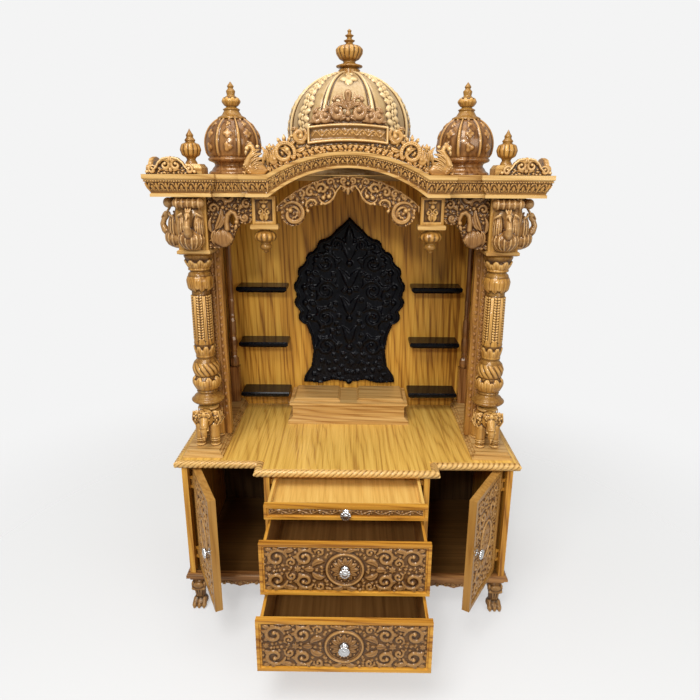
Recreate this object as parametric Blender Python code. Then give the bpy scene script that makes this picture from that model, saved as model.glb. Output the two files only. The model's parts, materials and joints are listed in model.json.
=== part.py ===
"""Home temple: a carved teak cabinet with two doors and three drawers, and a domed shrine on top."""

import bmesh
import bpy
from math import asin, cos, degrees, pi, radians, sin, sqrt, tau
from mathutils import Matrix, Vector

# Clearances
SEAT = 0.0003           # gap between pieces that rest on each other
SWING = 0.005           # gap round doors and drawers

# Cabinet
CARCASS_HALF = 0.537    # half width over the side panels
CARCASS_FRONT = 0.010
SLAB_REACH = 0.023      # how far the top slab stands beyond the side panels
SLAB_TOP = 0.565
SLAB_THICK = 0.028
ROPE_RADIUS = 0.014
STEP = 0.054            # how far the middle bay stands forward of the side bays
STEP_HALF = 0.279       # half width of that forward part
BACK_FACE = 0.498       # front face of the shrine's back wall
WALL_THICK = 0.018
BOARD_THICK = 0.018
BOTTOM_TOP = 0.136
BOTTOM_THICK = 0.030
BOTTOM_REACH = 0.014    # how far the bottom board stands beyond the side panels
BAY_HALF = 0.244        # half of the clear width of the drawer bay
APRON_DROP = 0.026
APRON_THICK = 0.016
APRON_SETBACK = 0.014
SCALLOP_WIDTH = 0.090
FOOT_HALF = 0.027
FOOT_INSET = 0.038      # from the end of the bottom board to the middle of a foot

# Doors, open as photographed
DOOR_THICK = 0.024
DOOR_SETBACK = 0.028    # from the carcass front to the closed door's face
DOOR_FRAME = 0.020
DOOR_RECESS = 0.006
FIELD_DRAFT = 0.002     # slope round a sunk field
HINGE_RADIUS = 0.004
PIN_RADIUS = 0.0024
HINGE_LONG = 0.044
KNUCKLE_LONG = 0.011
HINGE_END = 0.060       # from a door's top or bottom edge to the middle of its hinge
HINGE_LEAF = 0.003
LEFT_DOOR_OPEN = 64.3
RIGHT_DOOR_OPEN = 58.8

# Drawers, pulled out as photographed
DRAWER_DEPTH = 0.460
DRAWER_FRONT_THICK = 0.018
DRAWER_SIDE = 0.012
DRAWER_BOTTOM = 0.010
DRAWER_FRAME = 0.012
DRAWER_RECESS = 0.005
TRAY_HEIGHT = 0.046
SLIDE_THICK = 0.0127
SLIDE_HEIGHT = 0.035
TRAY_SLIDE_HEIGHT = 0.017
TRAY_PULL = 0.154
MIDDLE_PULL = 0.264
LOWER_PULL = 0.360

# Knobs
KNOB_RADIUS = 0.015
KNOB_REACH = 0.026

# Shrine
COLUMN_INSET = 0.075    # from the side panel's outside to the column's axis
COLUMN_Y = 0.118
COLUMN_FOOT = 0.727
COLUMN_RADIUS = 0.052   # of the widest disc
ABACUS_HALF = 0.050
ABACUS_THICK = 0.014
ABACUS_TOP = 1.232
BLOCK_HALF = 0.045
WALL_TOP = 1.432
CONSOLE_HALF = 0.030    # half width of the scroll brackets under the cornice
CONSOLE_REACH = 0.040
PLINTH_OUT = 0.073      # from the column's axis to the plinth's outside
PLINTH_IN = 0.057
PLINTH_FORWARD = 0.089
PLINTH_STEP = 0.0077
PLINTH_TREAD = 0.006
POST_BACK = 0.052       # from the column's axis to the side wall's front post
POST_WIDE = 0.084
POST_DEEP = 0.026
WALL_OUT = 0.016        # from the column's axis to the middle plane of a side wall
REAR_COLUMN_IN = 0.016
PEDESTAL_HALF = 0.019
PEDESTAL_HEIGHT = 0.142
CARVED_THICK = 0.025    # spandrels and arch board
CARVED_SETBACK = 0.008
ARCH_TOP = 1.4475       # apex of the arch board's curved top edge
ARCH_SPRING = 1.360     # height of that edge at the pendants
PENDANT_HALF = 0.035
PENDANT_DEEP = 0.050
PENDANT_IN = 0.214      # from the column's axis to the pendant's
PENDANT_FOOT = 1.296
PENDANT_DROP = 0.076
ELEPHANT_HALF = 0.040

# Back wall furniture
HALO_HALF = 0.210
HALO_FOOT = 0.652
HALO_THICK = 0.018
HALO_RELIEF = 0.006
SHELF_IN = 0.050        # from the column's axis to a shelf's outer end
SHELF_GAP = 0.006       # from the idol plinth's side to a shelf's inner end
SHELF_DEEP = 0.090
SHELF_THICK = 0.022
SHELF_HEIGHTS = (("upper", 1.035), ("middle", 0.826), ("lower", 0.626))
IDOL_HALF = 0.222
IDOL_DEEP = 0.173
IDOL_HEIGHT = 0.080
PAD_X = 0.118
PAD_HALF = 0.086
PAD_DEEP = 0.133
PAD_THICK = 0.012

# Roof
CORNICE_REACH = 0.053   # from the column block's outside to the foot of the cornice
CORNICE_FRONT = 0.030
CORNICE_FLARE = 0.018
CORNICE_BOTTOM = 1.388
CORNICE_HEIGHT = 0.062
RECESS = 0.022
RECESS_OUTER = 0.392
RECESS_INNER = 0.288
ARC_HALF = 0.228
ARC_RISE = 0.062
ARC_THIN = 0.30         # share by which the raised part is thinned from below
ANTEFIX_HALF = 0.072
ANTEFIX_TALL = 0.052
ANTEFIX_THICK = 0.014
CREST_HALF = 0.296
CREST_TALL = 0.223
CREST_THICK = 0.018
CENTRE_DOME_Y = 0.264
CENTRE_DOME_RADIUS = 0.187
CENTRE_FOOT_RADIUS = 0.163
DOME_RELIEF = 0.0065     # of the ribs and garlands on the centre dome
CENTRE_WIDEST = 1.579
CENTRE_CROWN = 1.745
CENTRE_TOP = 1.867
CENTRE_FINIAL_RADIUS = 0.040
SIDE_DOME_IN = 0.111
SIDE_DOME_Y = 0.193
SIDE_DOME_RADIUS = 0.082
SIDE_WIDEST = 1.536
SIDE_CROWN = 1.616
SIDE_TOP = 1.712
SIDE_FINIAL_RADIUS = 0.042
CORNER_BLOCK_HALF = 0.038
CORNER_BLOCK_TALL = 0.028
CORNER_TALL = 0.126
CORNER_RADIUS = 0.028

# Worked out from the above
BACK = BACK_FACE + WALL_THICK
SLAB_HALF = CARCASS_HALF + SLAB_REACH
SLAB_BOTTOM = SLAB_TOP - SLAB_THICK
BOTTOM_HALF = CARCASS_HALF + BOTTOM_REACH
BOTTOM_LOW = BOTTOM_TOP - BOTTOM_THICK
BOTTOM_FRONT = CARCASS_FRONT - 0.008
CARCASS_BACK = BACK - SEAT
DIVIDER_X = BAY_HALF + BOARD_THICK
DOOR_Y = CARCASS_FRONT + DOOR_SETBACK
HINGE_X = CARCASS_HALF - BOARD_THICK - HINGE_RADIUS - 0.003
DOOR_LOW = BOTTOM_TOP + SWING
DOOR_HIGH = SLAB_BOTTOM - SWING
DOOR_EDGE = 0.002       # from the hinge axis to the door's edge
DOOR_SPAN = sqrt((HINGE_X - DIVIDER_X - SWING) ** 2 - DOOR_THICK ** 2)
BAY_FRONT = CARCASS_FRONT - STEP
DRAWER_HALF = BAY_HALF - SWING
BOX_HALF = BAY_HALF - SLIDE_THICK - SEAT
DEEP_HEIGHT = (SLAB_BOTTOM - BOTTOM_TOP - 4 * SWING - TRAY_HEIGHT) / 2
COLUMN_X = CARCASS_HALF - COLUMN_INSET
PLINTH_TOP = SLAB_TOP + SEAT + 3 * PLINTH_STEP
SIDE_WALL_X = COLUMN_X + WALL_OUT
BLOCK_FRONT = COLUMN_Y - BLOCK_HALF
BLOCK_OUT = COLUMN_X + BLOCK_HALF
PENDANT_X = COLUMN_X - PENDANT_IN
CORNICE_HALF = BLOCK_OUT + CORNICE_REACH
CORNICE_TOP = CORNICE_BOTTOM + CORNICE_HEIGHT
CORNICE_INNER_Y = BLOCK_FRONT - SEAT
CORNICE_INNER_X = BLOCK_OUT + SEAT
CONSOLE_TOP = CORNICE_BOTTOM - SEAT
DECK_Z = WALL_TOP + SEAT
ROOF_TOP = DECK_Z + BOARD_THICK
FRONT_MOST = BAY_FRONT - LOWER_PULL + DRAWER_RECESS - KNOB_REACH
FRAME_SHIFT = -(FRONT_MOST + BACK) / 2

SIDES = ((-1, "left"), (1, "right"))
SQUARE = ((-1, -1), (1, -1), (1, 1), (-1, 1))

TEAK = ("teak", (0.62, 0.36, 0.13, 1), 0.35, 0.0)
DARK_TEAK = ("dark_teak", (0.30, 0.16, 0.06, 1), 0.40, 0.0)
BLACK = ("black_lacquer", (0.012, 0.012, 0.014, 1), 0.25, 0.0)
SILVER = ("silver", (0.75, 0.74, 0.72, 1), 0.25, 1.0)

# Turned profiles, as shares of the largest radius and of the height
COLUMN_PROFILE = (
    (0.65, 0.0), (0.90, 0.010), (1.0, 0.030), (0.90, 0.053), (0.65, 0.065), (0.58, 0.073),
    (0.67, 0.083), (0.60, 0.095), (0.71, 0.107), (0.83, 0.143), (0.79, 0.170), (0.62, 0.188),
    (0.69, 0.200), (0.77, 0.240), (0.69, 0.283), (0.50, 0.303), (0.56, 0.315), (0.48, 0.327),
    (0.62, 0.402), (0.54, 0.418), (0.53, 0.735), (0.48, 0.745), (0.65, 0.762), (0.75, 0.806),
    (0.65, 0.850), (0.50, 0.863), (0.60, 0.875), (0.52, 0.885), (0.58, 0.897), (0.87, 0.960),
    (0.67, 0.974))
DOME_FOOT = (
    (0.92, 0.0), (0.92, 0.06), (0.80, 0.13), (0.77, 0.20), (0.69, 0.28), (0.71, 0.37), (0.90, 0.44),
    (0.94, 0.51), (0.86, 0.58))
CENTRE_FINIAL = (
    (0.78, 0.0), (0.78, 0.12), (0.50, 0.15), (1.0, 0.18), (1.0, 0.21), (0.45, 0.26), (0.40, 0.30),
    (0.78, 0.38), (0.98, 0.51), (0.80, 0.62), (0.36, 0.69), (0.40, 0.73), (0.26, 0.77), (0.33, 0.82),
    (0.18, 0.87), (0.22, 0.92), (0.0, 1.0))
SIDE_FINIAL = (
    (1.0, 0.0), (1.0, 0.04), (0.70, 0.10), (0.52, 0.22), (0.62, 0.26), (0.34, 0.32), (0.48, 0.38),
    (0.60, 0.47), (0.48, 0.57), (0.26, 0.63), (0.32, 0.75), (0.16, 0.82), (0.24, 0.87), (0.0, 1.0))
CORNER_FINIAL = (
    (0.62, 0.0), (0.60, 0.06), (0.42, 0.14), (0.50, 0.19), (0.86, 0.27), (1.0, 0.42), (0.86, 0.56),
    (0.44, 0.63), (0.56, 0.68), (0.32, 0.76), (0.38, 0.82), (0.18, 0.90), (0.0, 1.0))
PENDANT_PROFILE = (
    (0.40, 0.0), (0.42, 0.09), (0.92, 0.20), (1.0, 0.35), (0.78, 0.52), (0.38, 0.60), (0.52, 0.70),
    (0.32, 0.82), (0.0, 1.0))
KNOB_PROFILE = (
    (0.72, 0.0), (0.72, 0.12), (0.38, 0.22), (0.38, 0.42), (0.85, 0.57), (1.0, 0.73), (0.92, 0.88),
    (0.0, 1.0))

# Middle line of the backing board's border from its waist to its point, as shares of its half width
HALO_RIM = (
    (0.80, 1.22), (0.93, 1.45), (0.99, 1.75), (0.97, 2.02), (0.84, 2.32), (0.66, 2.55), (0.40, 2.77),
    (0.0, 3.06))


def clear_scene():
    for old in list(bpy.data.objects):
        bpy.data.objects.remove(old, do_unlink=True)


def material_for(name, finish):
    label, colour, roughness, metallic = finish
    made = bpy.data.materials.new(name + "_" + label)
    made.use_nodes = True
    shader = made.node_tree.nodes["Principled BSDF"]
    shader.inputs["Base Color"].default_value = colour
    shader.inputs["Roughness"].default_value = roughness
    shader.inputs["Metallic"].default_value = metallic
    made.diffuse_color = colour
    return made


def make(name, bm, finish=TEAK, parent=None):
    """Turn a bmesh into a named object with a material of its own."""
    bmesh.ops.recalc_face_normals(bm, faces=bm.faces)
    mesh = bpy.data.meshes.new(name)
    bm.to_mesh(mesh)
    bm.free()
    made = bpy.data.objects.new(name, mesh)
    bpy.context.scene.collection.objects.link(made)
    mesh.materials.append(material_for(name, finish))
    made.parent = parent
    return made


def add_box(bm, x, y, z):
    """Add a box between pairs of limits."""
    centre = [(low + high) / 2 for low, high in (x, y, z)]
    size = [high - low for low, high in (x, y, z)]
    bmesh.ops.create_cube(bm, size=1, matrix=Matrix.LocRotScale(centre, None, size))


def box(name, x, y, z, finish=TEAK, parent=None):
    bm = bmesh.new()
    add_box(bm, x, y, z)
    return make(name, bm, finish, parent)


def add_loft(bm, loops, closed=False):
    """Skin rings of points, with caps unless the rings come round to the first."""
    rings = [[bm.verts.new(point) for point in loop] for loop in loops]
    count = len(rings[0])
    last = len(rings) if closed else len(rings) - 1
    for i in range(last):
        low = rings[i]
        high = rings[(i + 1) % len(rings)]
        for j in range(count):
            k = (j + 1) % count
            bm.faces.new((low[j], low[k], high[k], high[j]))
    if not closed:
        bm.faces.new(rings[0][::-1])
        bm.faces.new(rings[-1])


def prism(name, outline, y, finish=TEAK, parent=None):
    """Extrude an outline of (x, z) points between two y values."""
    bm = bmesh.new()
    add_loft(bm, [[(x, side, z) for x, z in outline] for side in y])
    return make(name, bm, finish, parent)


def square_loft(name, rings, at, parent=None, finish=TEAK):
    """Skin rectangles given as (half width, half depth, height) about a point."""
    bm = bmesh.new()
    add_loft(bm, [[(at[0] + w * sx, at[1] + d * sy, z) for sx, sy in SQUARE] for w, d, z in rings])
    return make(name, bm, finish, parent)


def even(segments, ribs=0, swell=0.0):
    """Angles round a turning at an even spacing, with ribs standing out by a share of the radius."""
    step = segments // ribs if ribs else segments + 1
    return [(tau * k / segments, 1 + swell if ribs and k % step == 0 else 1) for k in range(segments)]


def gored(relief):
    """Angles round a dome of eight gores, with a rib on each seam and a garland up each gore."""
    shares = ((0.0, relief), (0.07, 0.0), (0.33, 0.0), (0.5, relief), (0.67, 0.0), (0.93, 0.0))
    return [(tau * (gore + 0.5 + share) / 8, 1 + out) for gore in range(8) for share, out in shares]


def add_turning(bm, profile, at, lines):
    """Revolve (radius, z) points about a vertical axis, by angles that each have a share of the radius."""
    rings = []
    for radius, z in profile:
        if radius == 0:
            rings.append([bm.verts.new((at[0], at[1], z))])
            continue
        ring = []
        for turn, share in lines:
            out = radius * share
            ring.append(bm.verts.new((at[0] + out * cos(turn), at[1] + out * sin(turn), z)))
        rings.append(ring)
    for low, high in zip(rings, rings[1:]):
        for j in range(len(lines)):
            k = (j + 1) % len(lines)
            if len(high) == 1:
                bm.faces.new((low[j], low[k], high[0]))
            else:
                bm.faces.new((low[j], low[k], high[k], high[j]))
    bm.faces.new(rings[0][::-1])
    if len(rings[-1]) > 1:
        bm.faces.new(rings[-1])


def turned(name, profile, at, segments, finish=TEAK, parent=None, lines=None):
    bm = bmesh.new()
    add_turning(bm, profile, at, lines or even(segments))
    return make(name, bm, finish, parent)


def stretched(shares, radius, low, high):
    """A profile of shares at its real radius and between its real heights."""
    return [(share * radius, low + (high - low) * height) for share, height in shares]


def add_ball(bm, centre, size, detail=2):
    """Add an ellipsoid of half sizes."""
    place = Matrix.Translation(centre) @ Matrix.Diagonal((*size, 1))
    bmesh.ops.create_icosphere(bm, subdivisions=detail, radius=1, matrix=place)


def arc(cx, cz, radius, start, end, steps):
    """Points on a circle between two angles in degrees."""
    turns = [radians(start + (end - start) * k / steps) for k in range(steps + 1)]
    return [(cx + radius * cos(t), cz + radius * sin(t)) for t in turns]


def mirror(points):
    """The same outline on the other side, in the order that keeps it one loop."""
    return [(-x, z) for x, z in reversed(points)]


def scaled(points, width, height, at=(0, 0)):
    """An outline drawn in shares, at its real size and place."""
    return [(at[0] + x * width, at[1] + z * height) for x, z in points]


def combine(first, others, operation):
    """Apply exact booleans to the first solid and keep the result as its mesh."""
    for other in others:
        other.parent = first.parent
        step = first.modifiers.new(operation.lower(), "BOOLEAN")
        step.operation = operation
        step.solver = "EXACT"
        step.object = other
    bpy.context.view_layer.update()
    graph = bpy.context.evaluated_depsgraph_get()
    result = bpy.data.meshes.new_from_object(first.evaluated_get(graph))
    first.modifiers.clear()
    first.data = result
    for other in others:
        bpy.data.objects.remove(other, do_unlink=True)
    return first


def fuse(first, *others):
    return combine(first, others, "UNION")


def carve(first, *others):
    return combine(first, others, "DIFFERENCE")


def melt(target, voxel, ratio):
    """Melt overlapping primitives into one skin and thin it out."""
    remesh = target.modifiers.new("melt", "REMESH")
    remesh.mode = "VOXEL"
    remesh.voxel_size = voxel
    thin = target.modifiers.new("thin", "DECIMATE")
    thin.ratio = ratio
    return target


def level(target, x, y, low, high):
    """Trim a melted shape to flat seats at two heights."""
    reach = high - low
    keep = box("keep", (x - reach, x + reach), (y - reach, y + reach), (low, high))
    return combine(target, (keep,), "INTERSECT")


def place_empty(name, location, turn=0.0, parent=None):
    made = bpy.data.objects.new(name, None)
    bpy.context.scene.collection.objects.link(made)
    made.location = location
    made.rotation_euler = (0, 0, radians(turn))
    made.parent = parent
    return made


# Cabinet

def stepped_front(half, front, grow=0.0):
    """Plan of a board whose middle stands forward, clockwise from the back left."""
    middle = STEP_HALF + grow
    return [(-half, BACK), (-half, front), (-middle, front), (-middle, front - STEP),
            (middle, front - STEP), (middle, front), (half, front), (half, BACK)]


def bottom_board(root):
    """Stepped board with a moulded edge, given as (inset, share of the thickness)."""
    edge = ((0.010, 0.0), (0.010, 0.20), (0.0, 0.40), (0.0, 0.73), (0.004, 0.87), (0.006, 1.0))
    loops = []
    for inset, share in edge:
        z = BOTTOM_LOW + share * BOTTOM_THICK
        plan = stepped_front(BOTTOM_HALF - inset, BOTTOM_FRONT + inset, -inset)
        loops.append([(x, y, z) for x, y in plan])
    bm = bmesh.new()
    add_loft(bm, loops)
    make("bottom_board", bm, TEAK, root)


def scallops(path):
    """Stations along a stepped path with a wave that is 0 between scallops and 1 in their middle."""
    stations = []
    for (ax, ay), (bx, by) in zip(path, path[1:]):
        length = sqrt((bx - ax) ** 2 + (by - ay) ** 2)
        count = max(1, round(length / SCALLOP_WIDTH))
        steps = 5 * count
        for k in range(steps):
            t = k / steps
            if k and min(t, 1 - t) * length < 1.3 * APRON_THICK:
                continue
            stations.append((ax + (bx - ax) * t, ay + (by - ay) * t, abs(sin(pi * t * count))))
    stations.append((*path[-1], 0.0))
    return stations


def apron(root):
    """Scalloped strip that follows the stepped front under the bottom board."""
    top = BOTTOM_LOW - SEAT
    front = BOTTOM_FRONT + APRON_SETBACK
    end = BOTTOM_HALF - FOOT_INSET - 1.4 * FOOT_HALF
    middle = STEP_HALF - APRON_SETBACK
    path = [(-end, front), (-middle, front), (-middle, front - STEP),
            (middle, front - STEP), (middle, front), (end, front)]
    stations = scallops(path)
    loops = []
    for i, (x, y, wave) in enumerate(stations):
        here = Vector((x, y))
        before = Vector(stations[max(i - 1, 0)][:2])
        after = Vector(stations[min(i + 1, len(stations) - 1)][:2])
        first = (here - before).normalized() if i else (after - here).normalized()
        second = (after - here).normalized() if i < len(stations) - 1 else first
        inward = Vector((-first.y, first.x))
        if abs(first.dot(second)) < 0.5:
            inward = inward + Vector((-second.y, second.x))
        inner = here + inward * APRON_THICK
        low = top - APRON_DROP * (1 - 0.46 * wave)
        loops.append([(x, y, low), (x, y, top), (inner.x, inner.y, top), (inner.x, inner.y, low)])
    bm = bmesh.new()
    add_loft(bm, loops)
    make("base_apron", bm, TEAK, root)


def paw_foot(name, x, y, facing, root):
    """Animal paw with three toes under a scroll, facing forward or back."""
    top = BOTTOM_LOW - SEAT
    half = FOOT_HALF
    bm = bmesh.new()
    ankle = 0.67 * half
    leg = ((0.74 * half, 0.74 * half, -0.006), (ankle, ankle, 0.42 * top), (half, half, top + 0.006))
    add_loft(bm, [[(x + w * sx, y + 0.004 * facing + d * sy, z) for sx, sy in SQUARE] for w, d, z in leg])
    add_ball(bm, (x, y - 0.004 * facing, 0.18 * top), (half, half, 0.22 * top))
    for toe in (-1, 0, 1):
        reach = 0.90 * half - 0.004 * abs(toe)
        size = (0.37 * half, 0.59 * half, 0.15 * top)
        add_ball(bm, (x + 0.63 * half * toe, y - reach * facing, 0.10 * top), size)
    add_ball(bm, (x, y - 0.010 * facing, 0.71 * top), (0.96 * half, 0.74 * half, 0.25 * top))
    foot = make(name, bm, TEAK, root)
    melt(foot, 0.006, 0.14)
    level(foot, x, y, 0.0, top)


def feet(root):
    x = BOTTOM_HALF - FOOT_INSET
    for facing, end, y in ((1, "front", BOTTOM_FRONT + FOOT_HALF), (-1, "rear", BACK - 1.7 * FOOT_HALF)):
        paw_foot(end + "_left_foot", -x, y, facing, root)
        paw_foot(end + "_right_foot", x, y, facing, root)


def hinge_heights():
    return (DOOR_LOW + HINGE_END, DOOR_HIGH - HINGE_END)


def fixed_hinge(side, wall):
    """Pins with the two outer knuckles of each hinge, held by small leaves in the side panel."""
    at = (side * HINGE_X, DOOR_Y)
    pieces = []
    for z in hinge_heights():
        pin = [(PIN_RADIUS, z - HINGE_LONG / 2), (PIN_RADIUS, z + HINGE_LONG / 2)]
        pieces.append(turned("pin", pin, at, 6))
        for end in (-1, 1):
            middle = z + end * (HINGE_LONG - KNUCKLE_LONG) / 2
            knuckle = [(HINGE_RADIUS, middle - KNUCKLE_LONG / 2), (HINGE_RADIUS, middle + KNUCKLE_LONG / 2)]
            pieces.append(turned("knuckle", knuckle, at, 6))
            thick = (DOOR_Y - HINGE_LEAF / 2, DOOR_Y + HINGE_LEAF / 2)
            tall = (middle - KNUCKLE_LONG * 0.45, middle + KNUCKLE_LONG * 0.45)
            pieces.append(box("leaf", sorted((at[0], wall + side * 0.002)), thick, tall))
    return pieces


def carcass(root):
    """Side panels with their hinges, dividers with the drawer runners, and the cabinet's back."""
    tall = (BOTTOM_TOP + SEAT, SLAB_BOTTOM - SEAT)
    back = CARCASS_BACK - BOARD_THICK
    for side, word in SIDES:
        outer = side * CARCASS_HALF
        inner = side * (CARCASS_HALF - BOARD_THICK)
        deep = (CARCASS_FRONT, CARCASS_BACK)
        panel = box(word + "_side_panel", sorted((outer, inner)), deep, tall, TEAK, root)
        fuse(panel, *fixed_hinge(side, inner))
        across = sorted((side * BAY_HALF, side * DIVIDER_X))
        divider = box(word + "_divider", across, (BAY_FRONT, back - SEAT), tall, TEAK, root)
        rails = []
        for kind in drawer_kinds():
            middle = (kind["z"][0] + kind["z"][1]) / 2
            reach = sorted((side * (BAY_HALF + 0.002), side * (BAY_HALF - SLIDE_THICK)))
            run = (BAY_FRONT + DRAWER_FRONT_THICK + SWING, back - 0.03)
            rails.append(box("rail", reach, run, (middle - kind["slide"] / 2, middle + kind["slide"] / 2)))
        fuse(divider, *rails)
    inside = CARCASS_HALF - BOARD_THICK - SEAT
    box("cabinet_back", (-inside, inside), (back, CARCASS_BACK), tall, DARK_TEAK, root)


def top_slab(root):
    """Stepped counter with a rounded rope moulding along its front and ends."""
    half = SLAB_HALF - ROPE_RADIUS
    plan = stepped_front(half, ROPE_RADIUS, -ROPE_RADIUS)
    bm = bmesh.new()
    add_loft(bm, [[(x, y, z) for x, y in plan] for z in (SLAB_BOTTOM, SLAB_TOP)])
    make("top_slab", bm, TEAK, root)
    path = [Vector(point) for point in stepped_front(half + SEAT, ROPE_RADIUS - SEAT, SEAT - ROPE_RADIUS)]
    middle = (SLAB_BOTTOM + SLAB_TOP) / 2
    round_edge = arc(0, 0, 1, -60, 60, 4)
    section = [(0, -0.5)] + [(x, z / 2) for x, z in round_edge] + [(0, 0.5)]
    loops = []
    for here, out in zip(path, outward(path)):
        reach = out * ROPE_RADIUS
        loops.append([(here.x + reach.x * o, here.y + reach.y * o, middle + z * SLAB_THICK) for o, z in section])
    bm = bmesh.new()
    add_loft(bm, loops)
    make("rope_moulding", bm, TEAK, root)


def outward(path):
    """Mitred outward direction at each corner of a path in plan."""
    found = []
    for i, here in enumerate(path):
        ways = []
        if i:
            ways.append((here - path[i - 1]).normalized())
        if i < len(path) - 1:
            ways.append((path[i + 1] - here).normalized())
        if len(ways) == 2 and ways[0].dot(ways[1]) > 0.5:
            ways = ways[:1]
        found.append(sum((Vector((way.y, -way.x)) for way in ways), Vector((0, 0))))
    return found


# Doors

def framed_front(bm, x, y, z, frame, recess):
    """A board with a sunk field inside a plain frame on its front face."""
    add_box(bm, x, y, z)
    front = min(bm.faces, key=lambda face: face.calc_center_median().y)
    bmesh.ops.inset_region(bm, faces=[front], thickness=frame)
    bmesh.ops.inset_region(bm, faces=[front], thickness=FIELD_DRAFT, depth=-recess)


def knob(name, at, parent):
    """Round carved pull on a short stem, facing -Y, seated on a sunk field."""
    bm = bmesh.new()
    add_turning(bm, stretched(KNOB_PROFILE, KNOB_RADIUS, 0, KNOB_REACH - SEAT), (0, 0), even(8))
    bmesh.ops.rotate(bm, cent=(0, 0, 0), matrix=Matrix.Rotation(radians(90), 3, "X"), verts=bm.verts)
    bmesh.ops.translate(bm, vec=at, verts=bm.verts)
    make(name, bm, SILVER, parent)


def moving_hinge(side, z):
    """Middle knuckle of a hinge, with a clear bore for the pin and an arm into the door's edge."""
    bore = PIN_RADIUS + SEAT
    half = HINGE_LONG / 2 - KNUCKLE_LONG - 0.0005
    tube = bmesh.new()
    section = ((bore, -half), (HINGE_RADIUS, -half), (HINGE_RADIUS, half), (bore, half))
    turns = [tau * k / 10 for k in range(10)]
    add_loft(tube, [[(r * cos(turn), r * sin(turn), z + h) for r, h in section] for turn in turns], closed=True)
    tall = (z - half + 0.0005, z + half - 0.0005)
    thick = 0.4 * HINGE_LEAF
    root_end = -side * 0.012
    arm = box("arm", sorted((-side * (bore + 0.0006), root_end)), (-thick, thick), tall)
    lug = box("lug", sorted((-side * (HINGE_RADIUS + 0.0005), root_end)), (-thick, 0.010), tall)
    return [make("barrel", tube), arm, lug]


def door(side, word, angle, root):
    """One door, modelled shut about its hinge and turned open on it."""
    hinge = place_empty(word + "_hinge", (side * HINGE_X, DOOR_Y, 0), angle, root)
    bm = bmesh.new()
    width = sorted((-side * DOOR_EDGE, -side * DOOR_SPAN))
    framed_front(bm, width, (0, DOOR_THICK), (DOOR_LOW, DOOR_HIGH), DOOR_FRAME, DOOR_RECESS)
    panel = make(word + "_door", bm, TEAK, hinge)
    pockets = []
    half = HINGE_LONG / 2 + 0.0005
    for z in hinge_heights():
        across = sorted((1.5 * side * HINGE_RADIUS, -1.9 * side * HINGE_RADIUS))
        pockets.append(box("pocket", across, (-1.5 * HINGE_RADIUS, 1.6 * HINGE_RADIUS), (z - half, z + half)))
    carve(panel, *pockets)
    for z in hinge_heights():
        fuse(panel, *moving_hinge(side, z))
    inset = DOOR_FRAME + FIELD_DRAFT + KNOB_RADIUS
    at = (-side * (DOOR_SPAN - inset), DOOR_RECESS - SEAT, (DOOR_LOW + DOOR_HIGH) / 2)
    knob(word + "_door_knob", at, hinge)


# Drawers

def drawer_kinds():
    """The three drawers from the bottom up, stacked with the same gap."""
    kinds = []
    low = BOTTOM_TOP + SWING
    for word, tall, pull, slide, rim in (("lower", DEEP_HEIGHT, LOWER_PULL, SLIDE_HEIGHT, 0.016),
                                         ("middle", DEEP_HEIGHT, MIDDLE_PULL, SLIDE_HEIGHT, 0.016),
                                         ("tray", TRAY_HEIGHT, TRAY_PULL, TRAY_SLIDE_HEIGHT, 0.004)):
        kinds.append({"word": word, "z": (low, low + tall), "pull": pull, "slide": slide, "rim": rim})
        low += tall + SWING
    return kinds


def drawer(kind, root):
    """One drawer, modelled shut and drawn forward on its runners."""
    word = kind["word"]
    low, high = kind["z"]
    slide = place_empty(word + "_slide", (0, BAY_FRONT - kind["pull"], 0), 0, root)
    bm = bmesh.new()
    width = (-DRAWER_HALF, DRAWER_HALF)
    framed_front(bm, width, (0, DRAWER_FRONT_THICK), (low, high), DRAWER_FRAME, DRAWER_RECESS)
    make(word + "_drawer_front", bm, TEAK, slide)
    floor = low + 0.004
    rim = high - kind["rim"]
    bm = bmesh.new()
    add_box(bm, (-BOX_HALF, BOX_HALF), (DRAWER_FRONT_THICK + SEAT, DRAWER_DEPTH), (floor, rim))
    top = max(bm.faces, key=lambda face: face.calc_center_median().z)
    bmesh.ops.inset_region(bm, faces=[top], thickness=DRAWER_SIDE)
    bmesh.ops.inset_region(bm, faces=[top], thickness=0.0005, depth=floor + DRAWER_BOTTOM - rim)
    make(word + "_drawer_box", bm, DARK_TEAK, slide)
    knob(word + "_drawer_knob", (0, DRAWER_RECESS - SEAT, (low + high) / 2), slide)


# Shrine

def plinth(side, word, root):
    """Three low steps that carry the elephant, the columns and the side wall."""
    back = BACK_FACE - SEAT
    loops = []
    for k in range(3):
        outer = side * (COLUMN_X + PLINTH_OUT - k * PLINTH_TREAD)
        inner = side * (COLUMN_X - PLINTH_IN + k * PLINTH_TREAD)
        front = COLUMN_Y - PLINTH_FORWARD + k * PLINTH_TREAD
        low = SLAB_TOP + SEAT + k * PLINTH_STEP
        for z in (low, low + PLINTH_STEP):
            loops.append([(outer, front, z), (inner, front, z), (inner, back, z), (outer, back, z)])
    bm = bmesh.new()
    add_loft(bm, loops)
    make(word + "_plinth", bm, TEAK, root)


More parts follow.
